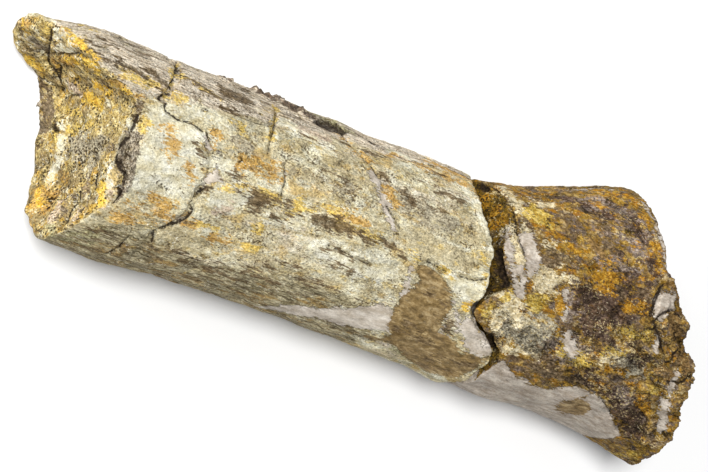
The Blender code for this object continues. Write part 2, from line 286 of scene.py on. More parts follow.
SHAFT_MARKS = (
    CRACK_AND_SHADOW_LINES
    + strokes(
        Stain.FILLER,
        (1.2, (207, 137), (209, 153)), (1.8, (219, 156), (217, 171)),
        (0.0, (206, 175), (214, 168), (219, 170), (221, 180), (208, 186), (199, 193)),
        (3.2, (372, 173), (380, 190), (388, 210)), (2.6, (388, 210), (394, 226)),
        (4.2, (411, 268), (409, 280), (404, 296)),
        (0.0, (257, 307), (296, 306), (322, 309), (365, 307), (395, 303), (391, 332), (366, 330),
         (340, 325), (307, 317)),
        (0.0, (459, 327), (470, 317), (478, 322), (492, 340), (493, 353), (486, 358), (466, 352)),
        (2.6, (446, 322), (441, 334)), (1.2, (449, 338), (456, 334), (458, 322)),
        (2.2, (458, 322), (455, 314), (452, 304)),
    )
    + strokes(
        Stain.BROWN,
        (0.0, (416, 266), (430, 265), (441, 274), (452, 297), (454, 312), (444, 318), (438, 332),
         (450, 338), (462, 352), (487, 359), (474, 370), (452, 379), (430, 374), (407, 360), (391, 343),
         (389, 328), (395, 309), (403, 297), (420, 282)),
        (3.0, (365, 337), (391, 341)),
    )
    + strokes(
        Stain.DARK,
        (1.8, (100, 55), (113, 61), (120, 66)), (0.0, (116, 55), (122, 56), (130, 68), (124, 69)),
        (2.4, (142, 68), (152, 70)), (2.6, (155, 72), (161, 78), (168, 85)), (1.2, (88, 38), (101, 46)),
        (1.2, (106, 38), (118, 46)),
        (0.0, (217, 82), (230, 88), (240, 90), (256, 102), (245, 103), (230, 97), (221, 90)),
        (2.0, (186, 76), (202, 85), (215, 92)), (1.8, (222, 105), (232, 109), (246, 117)),
        (0.0, (248, 194), (262, 192), (273, 198), (270, 208), (256, 212), (248, 207)),
        (3.0, (277, 200), (290, 205)), (1.5, (285, 212), (305, 216)),
        (0.0, (307, 211), (330, 215), (350, 222), (360, 232), (350, 236), (328, 229), (314, 224)),
        (3.0, (360, 233), (371, 246)), (2.8, (381, 238), (392, 245), (402, 256)),
        (1.6, (322, 248), (345, 253), (366, 263)), (2.2, (382, 175), (391, 181)),
        (4.0, (403, 190), (416, 202)), (3.6, (436, 192), (450, 196), (461, 202)),
        (0.0, (447, 320), (454, 321), (453, 333), (446, 333)), (1.3, (200, 268), (225, 270), (248, 274)),
        (2.6, (253, 276), (276, 283)), (2.0, (268, 266), (273, 269)),
        (1.0, (212, 262), (236, 266), (262, 272)), (1.0, (150, 244), (176, 252), (200, 259)),
        (1.2, (296, 278), (316, 284), (340, 290)), (0.9, (70, 243), (96, 250), (120, 258)),
        (0.9, (180, 262), (210, 272), (246, 284)), (1.0, (280, 262), (300, 268)),
        (1.4, (307, 286), (319, 290)), (0.9, (222, 179), (237, 175), (248, 185), (262, 194)),
        (1.2, (205, 190), (214, 186)), (1.6, (40, 86), (38, 98)), (1.3, (44, 84), (50, 100)),
        (1.8, (52, 120), (57, 129)), (1.2, (91, 47), (104, 56), (113, 60)),
        (1.2, (133, 66), (150, 78), (164, 90)), (1.2, (196, 82), (212, 92), (226, 100)),
        (1.4, (236, 84), (250, 90)), (1.0, (98, 34), (108, 41)),
        (1.2, (418, 196), (432, 206), (446, 212)), (1.0, (396, 155), (424, 166), (448, 176)),
        (1.0, (444, 166), (460, 173), (474, 180)), (0.9, (340, 140), (366, 150), (390, 158)),
        (0.9, (300, 134), (318, 140), (336, 150)), (1.0, (226, 186), (246, 196), (262, 212), (290, 226)),
        (0.8, (322, 170), (344, 178), (360, 190)), (0.8, (196, 142), (204, 158), (203, 172)),
        (1.0, (414, 176), (430, 184), (452, 190)), (1.4, (330, 262), (352, 272)),
        (1.2, (400, 349), (418, 357), (438, 363)), (1.6, (432, 352), (452, 362), (470, 366)),
        (1.6, (396, 330), (414, 337), (430, 343), (444, 349)), (1.2, (404, 322), (420, 330)),
        (1.6, (412, 362), (436, 369), (456, 372)), (1.0, (424, 290), (436, 298), (446, 308)),
        (2.0, (141, 103), (138, 115)), (2.4, (20, 28), (21, 40)), (2.2, (87, 232), (101, 231)),
        (1.6, (37, 145), (41, 150)), (2.0, (52, 54), (66, 56)), (1.6, (56, 44), (58, 50)),
        (1.6, (47, 56), (52, 66), (58, 78)), (1.6, (181, 222), (195, 226)),
    )
    + strokes(
        Stain.BARE,
        (0.0, (128, 130), (144, 134), (141, 146), (138, 157), (136, 170), (132, 183), (124, 195),
         (116, 205), (118, 189), (120, 176), (115, 163), (115, 150), (124, 138)),
        (2.6, (140, 104), (137, 118)), (1.6, (37, 104), (38, 130)),
    )
    + strokes(
        Stain.CRUST,
        (4.0, (222, 77), (230, 79)), (4.0, (248, 87), (258, 91)),
        (7.0, (260, 92), (280, 99), (296, 107), (310, 114)), (2.0, (366, 139), (384, 147)),
    )
    + strokes(
        Stain.GREEN,
        (7.0, (318, 110), (336, 115), (350, 124)), (5.0, (70, 236), (100, 232)),
        (4.0, (45, 226), (60, 240), (90, 245)), (5.0, (395, 350), (420, 366)),
    )
    # Pits, carved and painted near black for their shade.
    + strokes(
        Stain.PIT_AND_SHADE,
        (0.0, (314, 122), (323, 116), (336, 118), (349, 129), (344, 134), (327, 128)),
        (3.0, (52, 124), (57, 131)), (1.4, (122, 150), (120, 162), (125, 175), (121, 188), (118, 198)),
    )
    + strokes(
        Stain.YELLOW,
        (2.0, (80, 22), (94, 28)), (4.0, (122, 73), (138, 79)), (3.2, (150, 82), (160, 87), (168, 92)),
        (2.6, (171, 70), (184, 75), (195, 81)), (3.6, (172, 90), (184, 98)),
        (3.4, (231, 120), (244, 125)), (2.6, (243, 130), (246, 135)), (1.4, (277, 126), (274, 137)),
        (2.6, (257, 189), (266, 194)), (2.8, (268, 195), (277, 200)), (3.2, (296, 205), (302, 199)),
        (2.4, (312, 210), (322, 207)), (2.0, (328, 211), (346, 214)), (3.0, (410, 249), (417, 256)),
        (2.2, (254, 224), (262, 230)), (1.8, (228, 243), (258, 249)), (1.8, (200, 224), (220, 228)),
        (0.0, (141, 114), (149, 117), (152, 126), (144, 131), (138, 126)),
        (2.2, (100, 182), (102, 193), (101, 204)), (3.4, (44, 27), (50, 36)), (3.0, (56, 130), (57, 146)),
        (4.0, (70, 130), (90, 122)), (3.0, (66, 110), (80, 112)), (1.6, (440, 268), (452, 276)),
        (1.4, (482, 252), (488, 268), (485, 292)), (1.2, (218, 190), (240, 186), (254, 190)),
        (1.4, (270, 206), (292, 212), (306, 208)), (1.6, (278, 108), (276, 122), (270, 138)),
        (1.6, (176, 62), (174, 84)), (1.8, (200, 84), (224, 102)),
        (1.6, (338, 222), (362, 230), (380, 238)),
    )
    + strokes(
        Stain.ORANGE,
        (0.0, (164, 126), (172, 124), (178, 140), (180, 156), (172, 158), (166, 146)),
        (3.0, (187, 167), (194, 173)), (3.0, (157, 200), (165, 207)), (3.4, (162, 211), (170, 220)),
        (3.0, (183, 222), (196, 226)), (2.4, (129, 205), (156, 201), (178, 204)),
        (0.0, (238, 154), (250, 152), (260, 162), (262, 176), (248, 174), (240, 168)),
        (0.0, (262, 160), (278, 168), (287, 182), (276, 184), (264, 176)),
        (2.6, (324, 208), (346, 215), (366, 224)), (2.6, (341, 134), (352, 144), (369, 163)),
        (4.6, (384, 190), (396, 202)), (3.4, (420, 158), (446, 168), (472, 180)),
        (4.0, (426, 167), (450, 177), (472, 186)), (2.0, (392, 154), (414, 162)),
        (4.0, (56, 60), (74, 62)), (3.0, (106, 80), (130, 91), (143, 97)), (3.0, (22, 24), (29, 28)),
        (4.0, (120, 215), (150, 222)), (0.0, (35, 186), (50, 188), (57, 200), (46, 214), (34, 208)),
        (3.0, (205, 240), (228, 238)), (2.4, (220, 138), (216, 144)),
    )
    + strokes(
        Stain.PALE,
        (0.0, (146, 102), (162, 106), (168, 116), (202, 131), (207, 150), (205, 182), (190, 197),
         (150, 196), (128, 190), (136, 165), (141, 136)),
        (0.0, (212, 192), (224, 184), (240, 183), (254, 196), (246, 208), (224, 212), (208, 206)),
        (6.0, (172, 104), (200, 114), (224, 124)), (5.0, (212, 160), (234, 168)),
        (7.0, (285, 122), (312, 136), (330, 150)), (5.0, (392, 150), (420, 164), (452, 178)),
        (4.6, (462, 184), (478, 206), (488, 232)), (3.0, (490, 236), (492, 256), (491, 280)),
        (0.0, (440, 262), (456, 274), (490, 284), (492, 300), (470, 306), (456, 296)),
        (0.0, (300, 236), (330, 240), (352, 248), (372, 262), (400, 268), (398, 284), (350, 278),
         (310, 262)),
        (5.0, (270, 214), (296, 224)), (5.0, (52, 36), (62, 34), (72, 46)), (6.0, (56, 48), (68, 50)),
        (4.4, (60, 128), (63, 142), (59, 158), (53, 172), (50, 180)),
        (2.0, (110, 168), (106, 186), (110, 200)), (1.6, (98, 178), (96, 196)),
        (0.0, (296, 310), (330, 311), (362, 308), (394, 305), (390, 330), (366, 328), (340, 323)),
        (1.4, (140, 134), (136, 148), (132, 168)), (2.2, (19, 46), (23, 58)),
        (2.0, (131, 119), (128, 130)),
    )
    + strokes(
        Stain.GOLD,
        (2.0, (65, 25), (75, 37)), (3.4, (75, 37), (88, 47), (98, 58)),
        (4.4, (24, 54), (32, 64), (42, 72)), (5.4, (82, 60), (92, 66), (98, 74)),
        (4.4, (64, 60), (76, 62)), (6.0, (84, 96), (100, 104)), (4.0, (94, 84), (112, 92)),
        (2.4, (106, 82), (128, 92)), (1.6, (22, 22), (22, 30)), (3.0, (466, 308), (482, 304)),
        (3.0, (100, 184), (101, 202)), (3.0, (36, 192), (40, 206)),
    )
    # Dark brown-grey in the recess of the broken face and in the gaps between its blades: partly the
    # bone's colour, partly painted shade.
    + strokes(
        Stain.TAUPE_AND_SHADE,
        (4.6, (41, 80), (42, 100)), (5.0, (52, 92), (47, 110), (44, 130)), (4.0, (52, 112), (46, 134)),
        (3.0, (34, 42), (44, 50)), (2.6, (90, 176), (84, 196)), (2.6, (72, 196), (62, 214)),
    )
    + strokes(
        Stain.ROSE,
        (5.0, (68, 84), (78, 90)), (5.0, (50, 222), (60, 202)), (4.4, (74, 220), (84, 206)),
        (2.4, (104, 206), (112, 190)), (5.0, (300, 128), (330, 138)), (4.0, (215, 214), (232, 208)),
    )
    + strokes(
        Stain.GREY,
        (9.0, (405, 198), (428, 214), (450, 222)), (9.0, (32, 40), (44, 50)),
        (13.0, (72, 146), (96, 150)), (7.0, (90, 168), (100, 150)), (4.0, (234, 138), (250, 148)),
        (5.0, (340, 186), (352, 196)),
    )
    + strokes(
        Stain.GRIT,
        (22.0, (400, 200), (440, 220), (465, 235)), (18.0, (290, 150), (330, 175), (350, 195)),
        (10.0, (215, 225), (270, 245), (340, 262), (390, 285)),
    )
    + strokes(
        Stain.RIDGE,
        (2.5, (60, 124), (65, 140), (56, 153), (52, 173)), (2.0, (50, 222), (60, 202)),
        (2.0, (72, 222), (84, 205)), (1.6, (103, 203), (110, 172)),
    )
    + (
        Band(
            Stain.UPPER,
            ((66, 30), (103, 72), (143, 97), (170, 101), (200, 103), (232, 112), (270, 125), (300, 128),
             (345, 137), (400, 158), (450, 170), (470, 178)),
            above=True,
        ),
        Band(
            Stain.LOWER,
            ((42, 236), (70, 232), (100, 222), (150, 238), (205, 258), (285, 284), (340, 292),
             (392, 303)),
            above=False,
        ),
    )
)
END_MARKS = (
    CRACK_AND_SHADOW_LINES
    + strokes(
        Stain.FILLER,
        (0.0, (503, 231), (508, 229), (511, 240), (514, 256), (520, 275), (523, 292), (516, 297),
         (511, 276), (506, 252)),
        (0.0, (519, 233), (534, 231), (535, 246), (541, 262), (539, 272), (529, 276), (526, 256),
         (522, 244)),
        (4.4, (519, 268), (523, 282), (521, 296)), (2.4, (566, 292), (567, 304), (565, 318)),
        (0.0, (561, 333), (568, 330), (576, 340), (578, 352), (572, 360), (563, 350)),
        (0.0, (655, 300), (664, 290), (675, 295), (676, 308), (662, 321), (654, 313)),
        (3.0, (658, 336), (656, 350)), (3.4, (676, 374), (668, 396)), (5.0, (666, 402), (661, 428)),
        (2.0, (644, 203), (656, 224), (663, 246), (666, 266)), (1.6, (566, 190), (600, 188), (622, 191)),
    )
    + (
        Band(
            Stain.FILLER,
            ((455, 384), (470, 377), (489, 369), (503, 361), (517, 378), (534, 386), (551, 390),
             (575, 387), (588, 391), (602, 400), (613, 421), (618, 436)),
            above=False,
        ),
    )
    + strokes(
        Stain.BROWN,
        (0.0, (553, 410), (564, 401), (586, 398), (590, 408), (586, 415), (566, 415)),
    )
    + strokes(
        Stain.BARE,
        (7.0, (674, 320), (676, 336)), (6.0, (682, 356), (686, 370)), (6.0, (660, 372), (668, 376)),
        (3.4, (668, 284), (678, 290)), (4.0, (590, 240), (602, 254)), (3.4, (471, 306), (478, 318)),
    )
    + strokes(
        Stain.DARK,
        (1.2, (556, 192), (580, 191), (605, 193)), (4.5, (528, 364), (556, 376), (580, 384)),
        (0.0, (538, 250), (550, 247), (562, 256), (560, 265), (547, 267), (540, 258)),
        (2.6, (540, 348), (552, 362)), (4.0, (604, 232), (612, 250)), (2.4, (616, 286), (624, 300)),
        (3.6, (640, 290), (650, 300)), (3.0, (595, 335), (606, 345)), (2.6, (642, 425), (650, 438)),
        (2.0, (494, 298), (500, 303)), (2.0, (656, 372), (668, 376)),
    )
    # Pits, the deep gap of the break and the slit under the overhanging rim, carved and painted near black
    # for their shade.
    + strokes(
        Stain.PIT_AND_SHADE,
        (7.0, (493, 244), (498, 262), (502, 280)), (4.0, (491, 338), (491, 350)),
        (3.0, (480, 186), (488, 190)), (2.4, (664, 434), (667, 440)),
    )
    + strokes(
        Stain.PURPLE,
        (0.0, (574, 288), (600, 282), (628, 286), (650, 284), (652, 310), (636, 318), (616, 332),
         (586, 330), (574, 312)),
        (7.0, (606, 205), (630, 214), (646, 240)), (6.0, (586, 206), (604, 218)),
        (4.0, (556, 198), (580, 201)),
        (0.0, (604, 394), (626, 388), (646, 398), (650, 420), (640, 440), (622, 432), (612, 412)),
        (8.0, (592, 332), (612, 342)), (6.0, (575, 378), (592, 376), (604, 388)),
        (5.0, (640, 256), (654, 268)), (5.0, (620, 258), (626, 270)), (6.0, (600, 208), (612, 220)),
        (4.0, (616, 270), (636, 276)), (4.0, (632, 350), (644, 362)),
    )
    + strokes(
        Stain.GREY,
        (0.0, (502, 316), (524, 312), (548, 318), (556, 334), (548, 350), (530, 356), (510, 346),
         (502, 334)),
        (6.0, (620, 362), (640, 372)),
    )
    + strokes(
        Stain.ROSE,
        (6.0, (584, 200), (606, 206), (624, 214)), (6.0, (612, 234), (630, 240), (640, 252)),
        (5.0, (600, 258), (618, 262), (630, 270)), (4.0, (640, 216), (650, 234)),
        (4.0, (570, 296), (572, 320)), (5.0, (576, 344), (588, 352)), (5.0, (620, 392), (632, 402)),
        (4.0, (548, 340), (560, 356)),
    )
    + strokes(
        Stain.YELLOW,
        (0.0, (524, 208), (536, 206), (548, 214), (550, 226), (538, 226), (528, 218)),
        (0.0, (526, 297), (538, 294), (546, 302), (544, 314), (532, 310)),
        (4.0, (624, 330), (640, 336), (652, 330)), (3.4, (604, 352), (622, 356)),
        (3.0, (561, 352), (578, 362)), (2.4, (606, 452), (624, 457), (642, 456)),
        (2.4, (510, 292), (503, 300)), (2.6, (484, 314), (492, 306)), (3.0, (576, 356), (586, 362)),
        (1.6, (648, 380), (656, 392)),
    )
    + strokes(
        Stain.ORANGE,
        (0.0, (545, 222), (556, 222), (568, 236), (562, 242), (550, 234)), (5.0, (488, 195), (486, 204)),
        (5.0, (494, 210), (500, 222)),
        (0.0, (586, 266), (602, 264), (618, 276), (614, 292), (600, 290), (588, 280)),
        (2.6, (642, 212), (654, 238), (660, 268)), (4.6, (628, 304), (644, 310)),
        (3.6, (642, 398), (646, 412)), (2.6, (560, 296), (562, 314)), (1.6, (594, 195), (612, 197)),
        (3.0, (572, 248), (586, 258)), (3.0, (604, 208), (594, 204)), (4.0, (520, 192), (545, 200)),
        (1.4, (474, 308), (480, 318)),
    )
    + strokes(
        Stain.PALE,
        (0.0, (506, 226), (518, 232), (524, 246), (527, 262), (526, 271), (517, 268), (511, 250)),
        (3.6, (500, 187), (514, 199), (522, 214), (526, 230)),
        (0.0, (526, 276), (546, 268), (562, 278), (558, 292), (532, 290)), (4.0, (512, 196), (524, 212)),
        (4.0, (544, 240), (558, 246)), (4.0, (530, 200), (552, 206)), (6.0, (516, 318), (534, 324)),
        (4.0, (560, 272), (574, 284)),
        (0.0, (486, 322), (498, 304), (514, 300), (524, 296), (526, 308), (510, 314), (496, 328)),
        (3.0, (492, 293), (506, 298)), (4.0, (508, 348), (528, 356)), (3.0, (614, 348), (602, 360)),
    )
    + strokes(
        Stain.GRIT,
        (20.0, (500, 330), (560, 345), (600, 370), (640, 400)),
        (24.0, (600, 345), (650, 350), (670, 380), (640, 430)), (8.0, (508, 200), (520, 230), (545, 280)),
    )
    + strokes(
        Stain.RUBBLE,
        (26.0, (600, 345), (650, 350), (664, 380), (640, 425)), (12.0, (585, 300), (640, 300)),
        (10.0, (665, 290), (680, 330), (688, 370), (680, 400), (668, 430), (640, 452)),
        (12.0, (500, 325), (540, 345), (580, 370)),
    )
    + strokes(
        Stain.RIDGE,
        (2.2, (572, 200), (604, 208), (632, 228), (644, 262)),
        (2.0, (556, 206), (590, 222), (616, 246), (626, 282)),
        (1.8, (590, 196), (618, 202), (640, 218), (652, 250)), (1.6, (560, 350), (590, 362), (606, 380)),
    )
)


@dataclass(frozen=True)
class Fan:
    """Grooves that fan out over the bone's skin, round a place on it.

    pixels are the fan's middle, and where it starts and ends. fade and wave are in
    millimetres, and opens and closes are the angles between which the fan comes and goes.
    """

    pixels: Pixels
    fade: float = 8.0
    opens: tuple[float, float] = (-0.5, 0.1)
    closes: tuple[float, float] = (2.0, 2.5)
    wave: float = 2.4
    spokes: float = 2.5
    height: float = 2.0
    seed: float = 0.5


FAN = Fan(((552, 290), (590, 240), (648, 214)))


def smooth_rise(value: np.ndarray, low: float, high: float) -> np.ndarray:
    """Return 0 below low, 1 above high and a smooth rise between them."""
    share = np.clip((value - low) / (high - low), 0.0, 1.0)
    return share * share * (3.0 - 2.0 * share)


def cloud(points: np.ndarray, size: float, seed: float) -> np.ndarray:
    """Return smooth noise at points.

    Args:
        points: places in millimetres, one a row.
        size: how large a swelling is, in millimetres.
        seed: which noise it is.

    Returns:
        One value a point, from about -1 to 1.
    """
    return np.array([noise.noise(place) for place in (points / size + seed).tolist()])


def rubble(points: np.ndarray, size: float, seed: float) -> np.ndarray:
    """Return the heights of a crowd of angular blocks with crevices between them.

    Args:
        points: places in millimetres, one a row.
        size: how large a block is, in millimetres.
        seed: which crowd it is.

    Returns:
        One height a point, from about -1.5 in a crevice to 1 on the highest blocks.
    """
    heights = []
    for place in (points / size + seed).tolist():
        distances, centres = noise.voronoi(place)
        crevice = min((distances[1] - distances[0]) / CREVICE_WIDTH, 1.0)
        dome = BLOCK_DOME * crevice * (2.0 - crevice)
        heights.append(BLOCK_STEP * noise.cell(centres[0]) + dome + BLOCK_BASE)
    return np.array(heights)


class Chart:
    """Finds the photo's pixels on the bone."""

    TRIES = 60
    NUDGE = 0.01

    def __init__(self, nodes: list[str]) -> None:
        """Read the frame's solids as one surface.

        Args:
            nodes: the names of the solids.
        """
        self.surface = surface_tree(nodes)
        self.middle = Vector(VIEW.middle)

    def find(self, pixel: tuple[float, float]) -> np.ndarray:
        """Return where a pixel meets the bone.

        Args:
            pixel: its column and row. One beside the bone moves towards the middle.

        Returns:
            The place in millimetres from the bone's axis.
        """
        spot = Vector(pixel)
        eye = VIEW.eye()
        for _ in range(self.TRIES):
            hit = self.surface.ray_cast(eye, VIEW.ray(spot.x, spot.y))[0]
            if hit is not None:
                return np.array((hit - BONE_AXIS) / MM)
            spot = spot.lerp(self.middle, self.NUDGE)
        return np.zeros(3)

    def trace(self, pixels: Pixels, step: float = 3.0) -> np.ndarray:
        """Return a line of pixels as a line of close places on the bone.

        Args:
            pixels: the line's corners.
            step: how many pixels lie between two places.

        Returns:
            The places in millimetres from the bone's axis, one a row.
        """
        places = []
        for start, end in zip(pixels, pixels[1:]):
            run = Vector(end) - Vector(start)
            count = max(1, round(run.length / step))
            places += [self.find(tuple(Vector(start) + run * (part / count))) for part in range(count)]
        places.append(self.find(pixels[-1]))
        return np.array(places)


def unroll(places: np.ndarray) -> np.ndarray:
    """Return places as their distance along the bone and round its skin, in millimetres."""
    angle = np.arctan2(places[:, 1], places[:, 2])
    return np.stack((places[:, 0], angle * SKIN_RADIUS), axis=1)


def line_distance(points: np.ndarray, line: np.ndarray) -> np.ndarray:
    """Return how far each point lies from a line of straight runs.

    Args:
        points: the places, one a row.
        line: the line's corners, one a row.

    Returns:
        One distance a point.
    """
    nearest = np.full(len(points), np.inf)
    for start, end in zip(line, line[1:]):
        run = end - start
        away = points - start
        share = np.clip(away @ run / max(float(run @ run), TINY), 0.0, 1.0)
        nearest = np.minimum(nearest, np.linalg.norm(away - share[:, None] * run, axis=1))
    return nearest


def patch_depth(points: np.ndarray, outline: np.ndarray) -> np.ndarray:
    """Return how deep each flat point lies inside a closed outline, negative outside it.

    Args:
        points: the flat places, one a row.
        outline: the outline's corners, one a row.

    Returns:
        One depth a point.
    """
    closed = np.vstack((outline, outline[:1]))
    inside = np.zeros(len(points), dtype=bool)
    for (first_x, first_y), (last_x, last_y) in zip(closed, closed[1:]):
        if first_y == last_y:
            continue
        crosses = (first_y > points[:, 1]) != (last_y > points[:, 1])
        where = first_x + (points[:, 1] - first_y) * (last_x - first_x) / (last_y - first_y)
        inside ^= crosses & (points[:, 0] < where)
    return np.where(inside, 1.0, -1.0) * line_distance(points, closed)


@dataclass
class Fields:
    """What is known of each point of a piece, one value a point."""

    places: np.ndarray
    inside: np.ndarray
    fan: np.ndarray
    stains: dict[Stain, np.ndarray]

    @property
    def along(self) -> np.ndarray:
        """Return the distance along the bone, in millimetres."""
        return self.places[:, 0]

    def share(self, stain: Stain, low: float, high: float) -> np.ndarray:
        """Return how much a stain holds at each point, from 0 at a depth of low to 1 at high."""
        return smooth_rise(self.stains[stain], low, high)


class Surveyor:
    """Works out the fields of a piece from its marks.

    FAR is the depth where a piece has no mark, MARGIN how far round a mark its depth is
    measured, and PUSH how far below a point the measuring of its depth starts.
    """

    FAR = 40.0
    MARGIN = 12.0
    PUSH = 3.0

    def __init__(self, chart: Chart, node: str, marks: tuple, fan: Fan | None) -> None:
        """Place a piece's marks on the bone.

        Args:
            chart: where the photo's pixels lie.
            node: the piece's own solid.
            marks: its marks and bands.
            fan: its fan of grooves, if it has one.
        """
        self.marks = [(mark, chart.trace(self.outline(mark))) for mark in marks]
        self.fan = fan
        self.fan_places = unroll(np.array([chart.find(pixel) for pixel in fan.pixels])) if fan else None
        self.solid = surface_tree([node])

    @staticmethod
    def outline(mark: Mark | Band) -> Pixels:
        """Return a mark's pixels, closed if it is a filled patch."""
        filled = isinstance(mark, Mark) and mark.width == 0.0
        return mark.pixels + mark.pixels[:1] if filled else mark.pixels

    def depth_inside(self, places: np.ndarray, normals: np.ndarray) -> np.ndarray:
        """Return how far each point lies below the bone's outer skin, in millimetres.

        Args:
            places: the points, in millimetres from the bone's axis.
            normals: their normals.

        Returns:
            One depth a point.
        """
        depths = np.zeros(len(places))
        for index, (place, normal) in enumerate(zip(places, normals)):
            outward = Vector((0.0, place[1], place[2])).normalized()
            start = Vector(place) - Vector(normal) * self.PUSH
            hit = self.solid.ray_cast(start * MM + BONE_AXIS, outward)[3]
            gone = self.PUSH * outward.dot(Vector(normal))
            depths[index] = hit / MM - gone if hit is not None else 0.0
        return depths

    def grooves(self, flat: np.ndarray) -> np.ndarray:
        """Return the heights of the grooves that fan out round the fan's middle, from 0 to 1.

        Args:
            flat: the points unrolled.

        Returns:
            One height a point.
        """
        fan = self.fan
        if fan is None:
            return np.zeros(len(flat))
        middle, near, far = self.fan_places
        away = flat - middle
        reach = np.linalg.norm(away, axis=1)
        turn = np.arctan2(away[:, 1], away[:, 0])
        first, last = np.linalg.norm(near - middle), np.linalg.norm(far - middle)
        ring = smooth_rise(reach, first - fan.fade, first)
        ring *= 1.0 - smooth_rise(reach, last, last + fan.fade)
        sector = smooth_rise(turn, *fan.opens) * (1.0 - smooth_rise(turn, *fan.closes))
        wave = np.stack((reach / fan.wave, turn * fan.spokes, np.zeros(len(flat))), axis=1)
        return ring * sector * np.abs(cloud(wave, 1.0, fan.seed)) * fan.height

    def measure(self, mark: Mark | Band, line: np.ndarray, places: np.ndarray,
                flat: np.ndarray) -> np.ndarray:
        """Return how deep each point lies inside a mark, in millimetres.

        Args:
            mark: the mark or band.
            line: its line of places on the bone.
            places: the points.
            flat: the points unrolled.

        Returns:
            One depth a point, negative outside the mark.
        """
        if isinstance(mark, Band):
            edge = unroll(line)
            order = np.argsort(edge[:, 0])
            level = np.interp(flat[:, 0], edge[order, 0], edge[order, 1])
            over = flat[:, 1] - level if mark.above else level - flat[:, 1]
            ends = np.minimum(flat[:, 0] - edge[:, 0].min(), edge[:, 0].max() - flat[:, 0])
            return np.minimum(over, ends)
        if mark.width == 0.0:
            return patch_depth(flat, unroll(line[:-1]))
        return mark.width * VIEW.pixel / MM - line_distance(places, line)

    def survey(self, mesh: bpy.types.Mesh) -> Fields:
        """Return the fields of a mesh's points.

        Args:
            mesh: the piece's mesh in the row frame.

        Returns:
            The fields.
        """
        points, normals = points_and_normals(mesh)
        places = (points - np.array(BONE_AXIS)) / MM
        flat = unroll(places)
        stains = {stain: np.full(len(places), -self.FAR) for stain in Stain}
        for mark, line in self.marks:
            if isinstance(mark, Band):
                near = np.ones(len(places), dtype=bool)
            else:
                reach = self.MARGIN + mark.width * VIEW.pixel / MM
                low, high = line.min(axis=0) - reach, line.max(axis=0) + reach
                near = np.all((places > low) & (places < high), axis=1)
            depth = self.measure(mark, line, places[near], flat[near])
            stains[mark.stain][near] = np.maximum(stains[mark.stain][near], depth)
        return Fields(places, self.depth_inside(places, normals), self.grooves(flat), stains)


